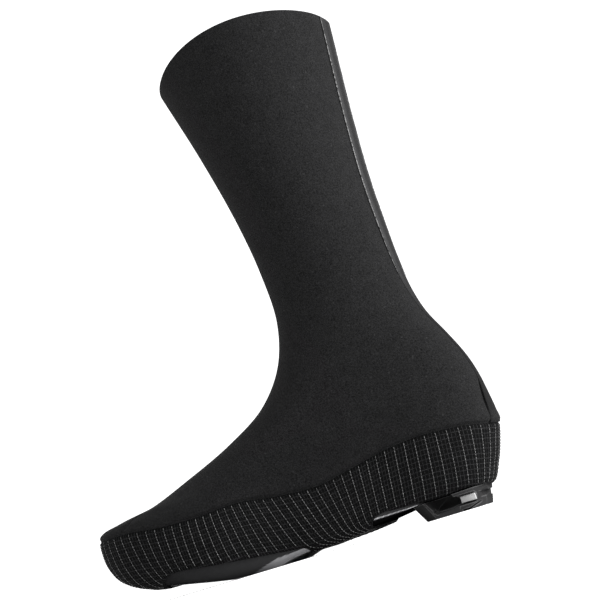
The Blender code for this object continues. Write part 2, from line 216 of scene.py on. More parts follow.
def column(rows, key):
    return np.array([getattr(row, key) for row in rows], float)


def table_curve(rows, key, share):
    """Values of one column at shares of the length, by a monotone cubic through the rows."""
    xs = column(rows, "share")
    ys = column(rows, key)
    steps = np.diff(xs)
    slopes = np.diff(ys) / steps
    before = slopes[:-1]
    after = slopes[1:]
    rising = before * after > 0
    tangents = np.zeros(len(xs))
    tangents[0] = slopes[0]
    tangents[-1] = slopes[-1]
    tangents[1:-1] = np.where(rising, 2 * before * after / np.where(rising, before + after, 1.0), 0.0)
    share = np.clip(share, xs[0], xs[-1])
    i = np.clip(np.searchsorted(xs, share, side="right") - 1, 0, len(steps) - 1)
    t = (share - xs[i]) / steps[i]
    rise = (3 - 2 * t) * t * t
    start = t * (1 - t) ** 2 * tangents[i]
    end = t * t * (t - 1) * tangents[i + 1]
    return ys[i] + (ys[i + 1] - ys[i]) * rise + (start + end) * steps[i]


def level_points(level, turn):
    """Points on whole levels; turn 0 is the toe, a quarter turn the outer side, half a turn the heel."""
    level, turn = np.broadcast_arrays(level, turn)
    run = (1 + np.cos(turn)) / 2
    below = level < SEAM_LEVEL
    side = np.where(below, level, 0)
    up = np.where(below, 0, level - SEAM_LEVEL)

    def side_value(key):
        return column(SIDE_LEVELS, key)[side]

    def up_value(key):
        return column(UPPER_LEVELS, key)[up]

    side_share = mix(side_value("heel"), side_value("toe"), run)
    sole = table_curve(SOLE_PROFILE, "height", side_share) - PIECE_GAP / MM
    side_z = mix(sole, table_curve(SEAM_PROFILE, "height", side_share), side_value("rise"))
    up_share = mix(up_value("back"), up_value("front"), run)
    straight = mix(SEAM_PROFILE[0].height, SEAM_PROFILE[-1].height, run)
    wave = table_curve(SEAM_PROFILE, "height", run) - straight
    up_z = mix(up_value("back_z"), up_value("front_z"), run) + wave * up_value("foot")
    up_z = up_z + up_value("bow") * np.sin(turn) ** 2
    lateral = table_curve(FOOT_OUTLINE, "lateral", run)
    medial = table_curve(FOOT_OUTLINE, "medial", run)
    outline = np.where(np.sin(turn) >= 0, lateral, medial) * np.where(below, side_value("spread"), 1.0)
    foot = np.where(below, 1.0, up_value("foot"))
    half = mix(up_value("half"), outline, foot)
    y = table_curve(FOOT_OUTLINE, "centre", run) * foot + np.sin(turn) * half
    x = foot_x(np.where(below, side_share, up_share))
    return np.stack([x, y * MM, np.where(below, side_z, up_z) * MM], axis=-1)


def form_points(level, turn):
    """Points of the form: a centripetal spline through the levels.

    Levels from 0 down to -1 run flat under the foot, from the tread edge in to its middle.
    """
    level, turn = np.broadcast_arrays(np.asarray(level, float), np.asarray(turn, float))
    last = len(LEVEL_NAMES) - 1
    raised = np.maximum(level, 0.0)
    low = np.clip(np.floor(raised).astype(int), 0, last - 1)
    points = [level_points(np.clip(low + k, 0, last), turn) for k in (-1, 0, 1, 2)]
    points[0] = np.where((low == 0)[..., None], 2 * points[1] - points[2], points[0])
    points[3] = np.where((low + 1 == last)[..., None], 2 * points[2] - points[1], points[3])
    knots = [np.zeros(level.shape)]
    for a, b in zip(points, points[1:]):
        knots.append(knots[-1] + np.sqrt(np.maximum(np.linalg.norm(b - a, axis=-1), 1e-6)))
    t = mix(knots[1], knots[2], raised - low)

    def between(a, b, start, end):
        share = ((t - start) / (end - start))[..., None]
        return mix(a, b, share)

    a1 = between(points[0], points[1], knots[0], knots[1])
    a2 = between(points[1], points[2], knots[1], knots[2])
    a3 = between(points[2], points[3], knots[2], knots[3])
    b1 = between(a1, a2, knots[0], knots[2])
    b2 = between(a2, a3, knots[1], knots[3])
    found = between(b1, b2, knots[1], knots[2])
    twin = level_points(np.zeros(level.shape, int), -turn)
    inward = np.clip(-level, 0.0, 1.0) / 2
    found[..., 1] = mix(found[..., 1], twin[..., 1], np.where(level < 0, inward, 0.0))
    return found


def unit(vectors, fallback=(0.0, 0.0, -1.0)):
    """Unit vectors, with a fallback where a vector has no length."""
    length = np.linalg.norm(vectors, axis=-1, keepdims=True)
    return np.where(length > 1e-12, vectors / np.maximum(length, 1e-12), np.array(fallback))


def form_normals(level, turn):
    """Outward normals of the form."""
    step = 0.01
    around = form_points(level, turn + step) - form_points(level, turn - step)
    up = form_points(level + step, turn) - form_points(level - step, turn)
    return unit(np.cross(around, up))


def skin_points(level, turn, out):
    """Points at a distance out from the form."""
    level, turn, out = np.broadcast_arrays(
        np.asarray(level, float), np.asarray(turn, float), np.asarray(out, float)
    )
    return form_points(level, turn) + form_normals(level, turn) * out[..., None]


def running_length(points):
    """Length along the last-but-one axis of a line of points."""
    gaps = np.linalg.norm(np.diff(points, axis=-2), axis=-1)
    start = np.zeros(gaps.shape[:-1] + (1,))
    return np.concatenate([start, np.cumsum(gaps, axis=-1)], axis=-1)


def smooth_step(value, low, high):
    t = np.clip((value - low) / (high - low), 0.0, 1.0)
    return t * t * (3 - 2 * t)


# Band coordinates of the rand

class Band:
    """Flat coordinates of the rand: length from the heel along the seam, and depth below the seam."""

    turn_count = 721
    level_count = 90
    drift_rounds = 12

    def __init__(self):
        self.turns = np.linspace(0.0, 2 * math.pi, self.turn_count)
        seam = skin_points(float(SEAM_LEVEL), self.turns, RAND_WALL)
        length = running_length(seam)
        middle = self.turn_count // 2
        self.along = length[middle] - length
        self.levels = np.linspace(SEAM_LEVEL, -1.0, self.level_count)
        rows = skin_points(self.levels[None, :], self.turns[:, None], RAND_WALL)
        self.depths = running_length(rows)
        self.shares = (1 + np.cos(self.turns)) / 2
        spacing = table_curve(THREADS, "spacing", self.shares) * MM
        steps = -np.diff(self.along) * 2 / (spacing[1:] + spacing[:-1])
        number = np.concatenate([[0.0], np.cumsum(steps)])
        self.numbers = number[middle] - number

    def drift(self, thread):
        """Drift of a thread along the band as it runs down it, from its place at the seam."""
        share = np.interp(-thread, -self.along, self.shares)
        drift = table_curve(THREADS, "drift", share)
        return np.where(thread >= 0, drift, -drift)

    def number(self, along, depth):
        """Running number of the thread that passes a place."""
        thread = along
        for _ in range(self.drift_rounds):
            thread = along - self.drift(thread) * depth
        return np.interp(-thread, -self.along, self.numbers)

    def place(self, number, depth):
        """Turn and level of the points of one thread at some depths below the seam."""
        thread = np.interp(-number, -self.numbers, self.along)
        along = thread + self.drift(thread) * depth
        turn = np.interp(-along, -self.along, self.turns)
        spot = turn / (2 * math.pi) * (self.turn_count - 1)
        i = np.clip(spot.astype(int), 0, self.turn_count - 2)
        rows = mix(self.depths[i], self.depths[i + 1], (spot - i)[:, None])
        level = np.array([np.interp(d, row, self.levels) for d, row in zip(depth, rows)])
        return turn, level, depth < rows[:, -1]


def hem_height(opening, x):
    """Height of an opening's hem over a place along the foot, with its rounded corners; low outside it."""
    front = foot_x(opening.front)
    back = foot_x(opening.back)
    height = mix(opening.back_hem, opening.front_hem, (x - back) / (front - back)) * MM
    for distance, corner in ((front - x, opening.front_corner), (x - back, opening.back_corner)):
        radius = corner * MM
        short = np.clip(radius - distance, 0.0, radius)
        height = height - (radius - np.sqrt(radius * radius - short * short))
    return np.where((x > back) & (x < front), height, -1.0)


def in_opening(points, margin=0.0):
    """True where a point of the rand lies in one of its openings."""
    cut = [
        (points[:, 2] < hem_height(opening, points[:, 0]) + margin) & (np.abs(points[:, 1]) < reach + margin)
        for opening, reach in HEM_CUTS
    ]
    return np.logical_or.reduce(cut)


# Meshes

def quads(rows, columns, close_rows=False):
    """Corner numbers of a grid of quads, with the rows joined end to end if asked."""
    top = np.arange(rows if close_rows else rows - 1)
    side = np.arange(columns - 1)
    a = (top[:, None] * columns + side[None, :]).ravel()
    b = (((top + 1) % rows)[:, None] * columns + side[None, :]).ravel()
    return np.stack([a, a + 1, b + 1, b], axis=-1)


def link_object(name, data):
    """New object in the scene."""
    item = bpy.data.objects.new(name, data)
    bpy.context.scene.collection.objects.link(item)
    return item


def add_piece(name, mesh, material, replaced=()):
    """Object of the shoe that rides on its body and the solids it stands for."""
    item = link_object(name, mesh)
    mesh.materials.clear()
    mesh.materials.append(material)
    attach(item, BODY)
    if replaced:
        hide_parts(*replaced)


@contextmanager
def edited(mesh):
    """Editable form of a mesh, which is written back at the end."""
    bm = bmesh.new()
    bm.from_mesh(mesh)
    yield bm
    bm.to_mesh(mesh)
    bm.free()


def clean_mesh(mesh, merge=WELD, sharp=50.0):
    """Welds a mesh, turns its faces outward and shades it smooth apart from real edges."""
    with edited(mesh) as bm:
        bmesh.ops.remove_doubles(bm, verts=bm.verts[:], dist=merge)
        bmesh.ops.dissolve_degenerate(bm, edges=bm.edges[:], dist=merge / 10)
        bm.normal_update()
        bmesh.ops.recalc_face_normals(bm, faces=bm.faces[:])
    mesh.shade_smooth()
    mesh.set_sharp_from_angle(angle=math.radians(sharp))
    return mesh


def grid_mesh(name, rows, uv=None, close_rows=False, **clean):
    """Mesh of a grid of points, rows by columns, with its flat coordinates where it has some."""
    count, columns = rows.shape[:2]
    faces = quads(count, columns, close_rows)
    mesh = bpy.data.meshes.new(name)
    mesh.from_pydata(rows.reshape(-1, 3).tolist(), [], faces.tolist())
    if uv is not None:
        layer = mesh.uv_layers.new(name="cloth")
        layer.data.foreach_set("uv", uv.reshape(-1, 2)[faces.ravel()].astype(np.float32).ravel())
    return clean_mesh(mesh, **clean)


def evaluated_mesh(mesh, build):
    """Mesh after the modifiers that build adds to an object of it."""
    item = link_object(mesh.name, mesh)
    helpers = build(item) or []
    view = bpy.context.evaluated_depsgraph_get()
    result = bpy.data.meshes.new_from_object(item.evaluated_get(view))
    for thing in [item, *helpers]:
        bpy.data.objects.remove(thing, do_unlink=True)
    result.name = mesh.name
    return result


def add_cut(item, mesh):
    """Takes the form of a mesh out of an object, by an object of that mesh."""
    cutter = link_object(mesh.name, mesh)
    cut = item.modifiers.new(mesh.name, "BOOLEAN")
    cut.operation = "DIFFERENCE"
    cut.solver = "EXACT"
    cut.object = cutter
    return cutter


def solid_copy(node):
    """Copy of a solid's mesh with its flat faces whole again."""
    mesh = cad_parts[node].data.copy()
    with edited(mesh) as bm:
        bmesh.ops.remove_doubles(bm, verts=bm.verts[:], dist=WELD)
        bmesh.ops.dissolve_limit(bm, angle_limit=FLAT_ANGLE, verts=bm.verts[:], edges=bm.edges[:])
    return mesh


def tube_rows(path, normals, radius, sides=8):
    """Rings around a path, for a bead of the given radius."""
    along = unit(np.gradient(path, axis=0))
    across = unit(np.cross(along, normals))
    normals = np.cross(across, along)
    angles = np.linspace(0.0, 2 * math.pi, sides + 1)
    ring = np.cos(angles)[None, :, None] * across[:, None] + np.sin(angles)[None, :, None] * normals[:, None]
    return path[:, None] + ring * np.broadcast_to(radius, len(path))[:, None, None]


def merged_mesh(name, parts):
    """One mesh from several lists of points and faces."""
    points = []
    faces = []
    start = 0
    for part_points, part_faces in parts:
        points.append(part_points)
        faces += (np.asarray(part_faces) + start).tolist()
        start += len(part_points)
    mesh = bpy.data.meshes.new(name)
    mesh.from_pydata(np.concatenate(points).tolist(), [], faces)
    return mesh


# Shader nodes

def add_node(tree, kind, inputs=None, **settings):
    """Node with its settings and its inputs, each a value or the socket that feeds it."""
    item = tree.nodes.new(kind)
    for key, value in settings.items():
        setattr(item, key, value)
    for key, value in (inputs or {}).items():
        if isinstance(value, bpy.types.NodeSocket):
            tree.links.new(value, item.inputs[key])
        else:
            item.inputs[key].default_value = value
    return item


def math_node(tree, operation, *values):
    return add_node(tree, "ShaderNodeMath", dict(enumerate(values)), operation=operation).outputs[0]


def mapped(tree, value, low, high, new_low=0.0, new_high=1.0):
    inputs = {"Value": value, "From Min": low, "From Max": high, "To Min": new_low, "To Max": new_high}
    return add_node(tree, "ShaderNodeMapRange", inputs).outputs["Result"]


def mixed_colour(tree, share, first, second):
    """Colour between two colours."""
    return add_node(tree, "ShaderNodeMix", {0: share, 6: first, 7: second}, data_type="RGBA").outputs[2]


def shade(colour, factor):
    return (*[min(channel * factor, 1.0) for channel in colour], 1.0)


def toned(tree, tone, colour, dark, pale):
    """Colour that runs from a darker to a paler shade of itself."""
    return mixed_colour(tree, tone, shade(colour, dark), shade(colour, pale))


def noise(tree, place, scale, detail=2.0, roughness=0.5):
    inputs = {"Vector": place, "Scale": scale, "Detail": detail, "Roughness": roughness}
    return add_node(tree, "ShaderNodeTexNoise", inputs).outputs["Fac"]


def split_place(tree, place):
    """Outputs X, Y and Z of a place."""
    return add_node(tree, "ShaderNodeSeparateXYZ", {"Vector": place}).outputs


def flat_place(tree):
    """Flat coordinates of a piece, as outputs X and Y."""
    return split_place(tree, add_node(tree, "ShaderNodeUVMap", uv_map="cloth").outputs["UV"])


def new_group(name, inputs, outputs):
    """Empty shader group with named float or vector sockets."""
    tree = bpy.data.node_groups.new(name, "ShaderNodeTree")
    for label, kind, value in inputs:
        socket = tree.interface.new_socket(label, in_out="INPUT", socket_type=kind)
        if value is not None:
            socket.default_value = value
    for label in outputs:
        tree.interface.new_socket(label, in_out="OUTPUT", socket_type="NodeSocketFloat")
    start = tree.nodes.new("NodeGroupInput")
    end = tree.nodes.new("NodeGroupOutput")
    return tree, start.outputs, end.inputs


def cloth_grain_group():
    """Fine fleck of a knitted or woven face: tone of the colour, and height of the nap."""
    name = "cloth_grain"
    if name in bpy.data.node_groups:
        return bpy.data.node_groups[name]
    tree, given, wanted = new_group(
        name,
        (
            ("Place", "NodeSocketVector", None),
            ("Grain Scale", "NodeSocketFloat", 1300.0),
            ("Fleck Scale", "NodeSocketFloat", 420.0),
            ("Fleck Share", "NodeSocketFloat", 0.04),
        ),
        ("Tone", "Height"),
    )
    grain = noise(tree, given["Place"], given["Grain Scale"], detail=3.0, roughness=0.65)
    mottle = noise(tree, given["Place"], math_node(tree, "MULTIPLY", given["Grain Scale"], 0.12))
    cells = add_node(tree, "ShaderNodeTexVoronoi", {"Vector": given["Place"], "Scale": given["Fleck Scale"]})
    lot = add_node(tree, "ShaderNodeSeparateColor", {"Color": cells.outputs["Color"]}).outputs[0]
    chosen = math_node(tree, "LESS_THAN", lot, given["Fleck Share"])
    near = mapped(tree, cells.outputs["Distance"], 0.45, 0.1)
    fleck = math_node(tree, "MULTIPLY", chosen, near)
    fine = mapped(tree, grain, 0.25, 0.75, 0.0, 0.9)
    slow = mapped(tree, mottle, 0.3, 0.7, 0.0, 0.1)
    tone = math_node(tree, "ADD", math_node(tree, "ADD", fine, slow), fleck)
    tree.links.new(tone, wanted["Tone"])
    tree.links.new(grain, wanted["Height"])
    return tree


def moulded_grain_group():
    """Fine grain of a moulded surface with a slow change of tone."""
    name = "moulded_grain"
    if name in bpy.data.node_groups:
        return bpy.data.node_groups[name]
    tree, given, wanted = new_group(
        name,
        (("Place", "NodeSocketVector", None), ("Grain Scale", "NodeSocketFloat", 900.0)),
        ("Tone", "Height"),
    )
    grain = noise(tree, given["Place"], given["Grain Scale"])
    slow = noise(tree, given["Place"], math_node(tree, "MULTIPLY", given["Grain Scale"], 0.05), detail=3.0)
    tree.links.new(mapped(tree, slow, 0.3, 0.7), wanted["Tone"])
    tree.links.new(grain, wanted["Height"])
    return tree


# Painted highlight on the edges of moulded pieces: its width, and the cosine of the normal's turn where the
# highlight starts and where it is full
HIGHLIGHT_WIDTH = 0.9 * MM
HIGHLIGHT_TURN = (0.995, 0.9)


def painted_edge_highlight_group():
    """Mask of the painted highlight that makes the edges of a moulded piece paler."""
    name = "rubbed_edges"
    if name in bpy.data.node_groups:
        return bpy.data.node_groups[name]
    tree, given, wanted = new_group(name, (("Width", "NodeSocketFloat", HIGHLIGHT_WIDTH),), ("Mask",))
    rounded = add_node(tree, "ShaderNodeBevel", {"Radius": given["Width"]}).outputs["Normal"]
    flat = add_node(tree, "ShaderNodeNewGeometry").outputs["Normal"]
    turned = add_node(tree, "ShaderNodeVectorMath", {0: rounded, 1: flat}, operation="DOT_PRODUCT")
    tree.links.new(mapped(tree, turned.outputs["Value"], *HIGHLIGHT_TURN), wanted["Mask"])
    return tree


def new_material(name, **values):
    """Material with one principled shader, whose plain values sit on its own sockets."""
    material = bpy.data.materials.new(name)
    material.use_nodes = True
    tree = material.node_tree
    shader = tree.nodes["Principled BSDF"]
    for key, value in values.items():
        shader.inputs[key.replace("_", " ")].default_value = value
    return material, tree, shader


def grouped(tree, group, **inputs):
    """Node of a shader group, placed by the object's own coordinates."""
    place = add_node(tree, "ShaderNodeTexCoord").outputs["Object"]
    item = add_node(tree, "ShaderNodeGroup", node_tree=group)
    tree.links.new(place, item.inputs["Place"])
    for key, value in inputs.items():
        item.inputs[key.replace("_", " ")].default_value = value
    return item.outputs


def paint(tree, shader, colour):
    tree.links.new(colour, shader.inputs["Base Color"])


def add_bump(tree, shader, height, distance, strength):
    bump = add_node(tree, "ShaderNodeBump", {"Height": height, "Distance": distance, "Strength": strength})
    tree.links.new(bump.outputs["Normal"], shader.inputs["Normal"])


# Cloth faces: roughness and gloss, grain and flecks on a metre, share of the cells with a fleck, darkest
# and palest shade of the colour, depth of the nap in millimetres and its strength
ClothFace = namedtuple("ClothFace", "name roughness gloss grain fleck flecked dark pale nap strength")
SOFTSHELL_FACE = ClothFace("softshell", 0.9, 0.02, 1100.0, 620.0, 0.02, 0.15, 1.95, 0.3, 0.8)
RIPSTOP_FACE = ClothFace("ripstop", 0.5, 0.01, 1700.0, 700.0, 0.03, 0.2, 1.9, 0.18, 0.8)
THREAD_FACE = ClothFace("reflective_thread", 0.5, 0.1, 520.0, 500.0, 0.12, 0.1, 1.8, 0.1, 0.5)
TAPE_FACE = ClothFace("back_tape", 0.8, 0.02, 1600.0, 520.0, 0.03, 0.5, 1.5, 0.15, 0.5)
PIPING_FACE = ClothFace("tape_piping", 0.5, 0.1, 600.0, 600.0, 0.05, 0.08, 1.8, 0.12, 0.6)


def cloth_face(face, **values):
    """Material of a cloth face, still without its colour, and the outputs of its grain."""
    material, tree, shader = new_material(
        face.name, Roughness=face.roughness, Specular_IOR_Level=face.gloss, **values
    )
    sizes = {"Grain_Scale": face.grain, "Fleck_Scale": face.fleck, "Fleck_Share": face.flecked}
    return material, tree, shader, grouped(tree, cloth_grain_group(), **sizes)


def plain_cloth(face, colour, **values):
    """Cloth with no pattern but its grain."""
    material, tree, shader, grain = cloth_face(face, **values)
    paint(tree, shader, toned(tree, grain["Tone"], colour, face.dark, face.pale))
    add_bump(tree, shader, grain["Height"], face.nap * MM, face.strength)
    return material


def softshell_material(look):
    """Matte black stretch cloth with a fine fleck and a soft nap."""
    return plain_cloth(SOFTSHELL_FACE, look.softshell_colour, Sheen_Weight=0.01, Sheen_Roughness=0.5)


def thread_material(look):
    """Pale reflective yarn with dull stretches."""
    return plain_cloth(THREAD_FACE, look.thread_colour)


# Grid of the ripstop: warp lines by the running number of the reflective threads, weft lines by depth
WARP_SPACING = 1 / 3
WARP_WIDTH = 0.055
WEFT_WIDTH = 0.4 * MM
GRID_ROUGHNESS = (0.82, 0.55)


def line_mask(tree, value, spacing, width):
    """One on evenly spaced lines of some width and zero between them."""
    cell = math_node(tree, "FRACT", math_node(tree, "DIVIDE", value, spacing))
    offset = math_node(tree, "ABSOLUTE", math_node(tree, "SUBTRACT", cell, 0.5))
    edge = 0.5 - width / spacing / 2
    return mapped(tree, offset, edge - 0.06, edge + 0.02)


def ripstop_material(look):
    """Near-black woven cloth with a faint grid of thicker threads."""
    face = RIPSTOP_FACE
    material, tree, shader, grain = cloth_face(face)
    flat = flat_place(tree)
    warp = line_mask(tree, flat["X"], WARP_SPACING, WARP_WIDTH)
    weft = line_mask(tree, flat["Y"], look.weft_spacing, WEFT_WIDTH)
    grid = math_node(tree, "MAXIMUM", warp, weft)
    colour = look.ripstop_colour
    cloth = toned(tree, grain["Tone"], colour, face.dark, face.pale)
    broken = math_node(tree, "MULTIPLY", grid, mapped(tree, grain["Tone"], 0.3, 0.7, 0.1, 1.0))
    paint(tree, shader, mixed_colour(tree, broken, cloth, shade(colour, look.grid_contrast)))
    tree.links.new(mapped(tree, broken, 0.0, 1.0, *GRID_ROUGHNESS), shader.inputs["Roughness"])
    height = math_node(tree, "ADD", math_node(tree, "MULTIPLY", grain["Height"], 0.4), grid)
    add_bump(tree, shader, height, face.nap * MM, face.strength)
    return material


# Painted shade on the tape: heights on its flap and at its top, shares of its half width at its middle, and
# the darker shades of its colour there
TAPE_FLAP = (0.2, 0.12)
TAPE_TOP = (0.27, 0.325, 0.0, 0.6)
TAPE_MIDDLE = (0.95, 0.30, 0.0, 0.8)
TAPE_PAINTED_SHADE = (0.15, 0.35)


def tape_material(look):
    """Smooth bonded tape with painted shade along its middle, on its flap and at its top, which leaves it
    paler beside its edges.
    """
    face = TAPE_FACE
    material, tree, shader, grain = cloth_face(face)
    colour = look.tape_colour
    unshaded = toned(tree, grain["Tone"], colour, face.dark, face.pale)
    painted_shade = toned(tree, grain["Tone"], colour, *TAPE_PAINTED_SHADE)
    height = split_place(tree, add_node(tree, "ShaderNodeTexCoord").outputs["Object"])["Z"]
    across = math_node(tree, "ABSOLUTE", flat_place(tree)["X"])
    middle = mapped(tree, across, *TAPE_MIDDLE)
    ends = math_node(tree, "ADD", mapped(tree, height, *TAPE_FLAP), mapped(tree, height, *TAPE_TOP))
    # Painted shade: the tape's colour darkens along its middle, on its flap and at its top
    paint(tree, shader, mixed_colour(tree, math_node(tree, "MAXIMUM", middle, ends), unshaded, painted_shade))
    add_bump(tree, shader, grain["Height"], face.nap * MM, face.strength)
    return material


def piping_material(look):
    """Light grey reflective edge of the tape, with dark breaks."""
    face = PIPING_FACE
    material, tree, shader, grain = cloth_face(face)
    breaks = mapped(tree, grain["Tone"], 0.3, 0.65)
    paint(tree, shader, toned(tree, breaks, look.piping_colour, face.dark, face.pale))
    add_bump(tree, shader, grain["Height"], face.nap * MM, face.strength)
    return material


# Depth and strength of the grain on moulded pieces
MOULDED_RELIEF = (0.06 * MM, 0.4)


def moulded_material(name, colour, roughness, gloss=0.5, highlighted=1.0):
    """Moulded plastic with a fine grain, and a painted highlight that makes its edges paler."""
    material, tree, shader = new_material(name, Specular_IOR_Level=gloss)
    grain = grouped(tree, moulded_grain_group(), Grain_Scale=900.0)
    body = toned(tree, grain["Tone"], colour, 0.8, 1.2)
    edges = add_node(tree, "ShaderNodeGroup", node_tree=painted_edge_highlight_group()).outputs["Mask"]
    # Painted highlight: the edges are mixed towards a paler shade of the colour
    paint(tree, shader, mixed_colour(tree, edges, body, shade(colour, highlighted)))
    uneven = mapped(tree, grain["Tone"], 0.0, 1.0, roughness * 0.85, roughness * 1.15)
    tree.links.new(uneven, shader.inputs["Roughness"])
    add_bump(tree, shader, grain["Height"], *MOULDED_RELIEF)
    return material


# Settings

COLOUR = {"subtype": "COLOR", "size": 3, "min": 0.0, "max": 1.0}


class OvershoeLook(bpy.types.PropertyGroup):
    """Colours and small sizes of the overshoe."""

    softshell_colour: FloatVectorProperty(
        name="Softshell", description="Colour of the upper's cloth", default=(0.0078, 0.0078, 0.008), **COLOUR
    )
    ripstop_colour: FloatVectorProperty(
        name="Ripstop", description="Colour of the rand's cloth", default=(0.0029, 0.0029, 0.003), **COLOUR
    )
    thread_colour: FloatVectorProperty(
        name="Threads", description="Colour of the reflective yarn", default=(0.095, 0.095, 0.095), **COLOUR
    )
    tape_colour: FloatVectorProperty(
        name="Back tape", description="Colour of the back tape", default=(0.028, 0.028, 0.0286), **COLOUR
    )
    piping_colour: FloatVectorProperty(
        name="Tape edge", description="Colour of the reflective edge", default=(0.085, 0.085, 0.085), **COLOUR
    )
    sole_colour: FloatVectorProperty(
        name="Sole", description="Colour of the stiff sole", default=(0.016, 0.016, 0.0165), **COLOUR
    )
    pad_colour: FloatVectorProperty(
        name="Heel pad", description="Colour of the heel pad", default=(0.02, 0.02, 0.0203), **COLOUR
    )
    insert_colour: FloatVectorProperty(
        name="Pad insert", description="Colour of the pad's pale plugs", default=(0.26, 0.26, 0.26), **COLOUR
    )
    # Strength of the painted highlight on the sole's lower edge
    sole_edge_highlight: FloatProperty(
        name="Sole edge", description="Brightness of the sole's highlit edge against its side", default=26.0
    )
    # Strength of the painted highlight on the heel pad's edges
    pad_edge_highlight: FloatProperty(
        name="Pad edges", description="Brightness of the pad's rubbed edges against its faces", default=3.5
    )
    grid_contrast: FloatProperty(
        name="Grid contrast", description="Brightness of the ripstop's grid against its cloth", default=6.0
    )
    weft_spacing: FloatProperty(
        name="Weft spacing", description="Distance between the ripstop's level threads",
        default=3.0 * MM, unit="LENGTH",
    )
    thread_width: FloatProperty(
        name="Thread width", description="Width of a reflective thread", default=0.38 * MM, unit="LENGTH"
    )
    dash_length: FloatProperty(
        name="Stitch length", description="Visible length of a reflective thread between two dips",
        default=1.55 * MM, unit="LENGTH",
    )
    dash_pitch: FloatProperty(
        name="Stitch pitch", description="Distance from one dip of a thread to the next",
        default=1.9 * MM, unit="LENGTH",
    )
    seam_roll: FloatProperty(
        name="Seam roll", description="How far the upper rolls out just above the rand",
        default=0.7 * MM, unit="LENGTH",
    )
    heel_puff: FloatProperty(
        name="Heel puff", description="Extra roll of the upper at the back of the heel",
        default=0.4 * MM, unit="LENGTH",
    )


class StudioStage(bpy.types.PropertyGroup):
    """Floor, light and camera."""

    floor_colour: FloatVectorProperty(
        name="Floor", description="Colour of the floor", default=(0.85, 0.85, 0.85), **COLOUR
    )
    surround: FloatProperty(
        name="Surround", description="Brightness of the white surround", default=1.35
    )
    key_power: FloatProperty(
        name="Key light", description="Power of the softbox behind the heel", default=53.0, unit="POWER"
    )
    fill_power: FloatProperty(
        name="Fill light", description="Power of the softbox at the outer side", default=2.0, unit="POWER"
    )
    distance: FloatProperty(
        name="Distance", description="Camera distance along the floor", default=0.95, unit="LENGTH"
    )
    swing: FloatProperty(
        name="Swing", description="Turn of the camera from the outer side towards the heel",
        default=math.radians(21.0), subtype="ANGLE",
    )
    height: FloatProperty(
        name="Height", description="Camera height above the floor", default=0.003, unit="LENGTH"
    )
    aim: FloatVectorProperty(
        name="Aim", description="Point that the camera looks at",
        default=(-0.0425, 0.0, 0.1608), size=3, subtype="TRANSLATION",
    )
    roll: FloatProperty(
        name="Roll", description="Roll of the camera about its line of sight",
        default=math.radians(-16.78), subtype="ANGLE",
    )
    focal_length: FloatProperty(
        name="Focal length", description="Focal length in millimetres on a 36 mm wide sensor", default=87.04
    )


# Pieces

# Rows of the upper: along the roll above the seam, then for each level up to the collar, closer together
# around the foot at its back
ROLL_ROWS = 15
ROWS_A_LEVEL = 11
BACK_TURN = 0.4
UPPER_ROWS = np.concatenate([
    SEAM_LEVEL + np.linspace(0.0, 1.0, ROLL_ROWS) ** 1.3,
    np.linspace(SEAM_LEVEL + 1, COLLAR_LEVEL, (COLLAR_LEVEL - SEAM_LEVEL - 1) * ROWS_A_LEVEL + 1)[1:],
])
UPPER_TURNS = np.concatenate([
    np.linspace(0.0, math.pi - BACK_TURN, 140)[:-1],
    np.linspace(math.pi - BACK_TURN, math.pi + BACK_TURN, 81)[:-1],
    np.linspace(math.pi + BACK_TURN, 2 * math.pi, 140),
])
COLLAR_RIM = 1.1 * MM

# Roll above the seam, by height along the cloth, and the tucked edge below it
ROLL_RISE = 2.4 * MM
ROLL_FALL = (3.0 * MM, 14.0 * MM)
EDGE_TUCK = 0.8 * MM
EDGE_TUCK_HEIGHT = 1.4 * MM
HEEL_NARROWNESS = 8

# Crease over the toe, as levels and turns, and gutters beside the tape's flap
TOE_CREASE = ((6.2, 0.70), (5.8, 0.725), (5.2, 0.75), (4.4, 0.73))
CREASE_WIDTH = 1.2 * MM
CREASE_DEPTH = 1.3 * MM
GUTTER_WIDTH = 0.9 * MM
GUTTER_DEPTH = 1.0 * MM
GUTTER_HEIGHT = 32.0 * MM


def tape_half_width(level):
    share = (level - SEAM_LEVEL) / (COLLAR_LEVEL - SEAM_LEVEL)
    return table_curve(TAPE_WIDTHS, "half_width", share) * MM


def line_distance(points, line):
    """Distance of points from a line of straight pieces."""
    nearest = np.full(points.shape[:-1], np.inf)
    for start, end in zip(line, line[1:]):
        along = end - start
        share = np.clip(((points - start) @ along) / (along @ along), 0.0, 1.0)
        foot = start + share[..., None] * along
        nearest = np.minimum(nearest, np.linalg.norm(points - foot, axis=-1))
    return nearest


def upper_relief(look, level, turn, points):
    """How far the upper's face stands out from its even wall: the roll above the seam and the creases."""
    height = running_length(np.swapaxes(points, 0, 1)).T
    heel = np.clip(-np.cos(turn), 0.0, 1.0) ** HEEL_NARROWNESS
    roll = look.seam_roll + look.heel_puff * heel
    rise = smooth_step(height, 0.0, ROLL_RISE)
    fall = 1.0 - smooth_step(height, *ROLL_FALL)
    tuck = EDGE_TUCK * (1.0 - smooth_step(height, 0.0, EDGE_TUCK_HEIGHT))
    middle = form_points(level, math.pi)[..., 1]
    beside = np.abs(points[..., 1] - middle) - tape_half_width(level) - GUTTER_WIDTH / 2
    behind = (np.cos(turn) < 0) * (1.0 - smooth_step(height, GUTTER_HEIGHT * 0.6, GUTTER_HEIGHT))
    gutter = GUTTER_DEPTH * behind * np.exp(-((beside / GUTTER_WIDTH) ** 2))
    crease_line = [form_points(*spot) for spot in TOE_CREASE]
    crease = CREASE_DEPTH * np.exp(-((line_distance(points, crease_line) / CREASE_WIDTH) ** 2))
    return roll * rise * fall - tuck - gutter - crease


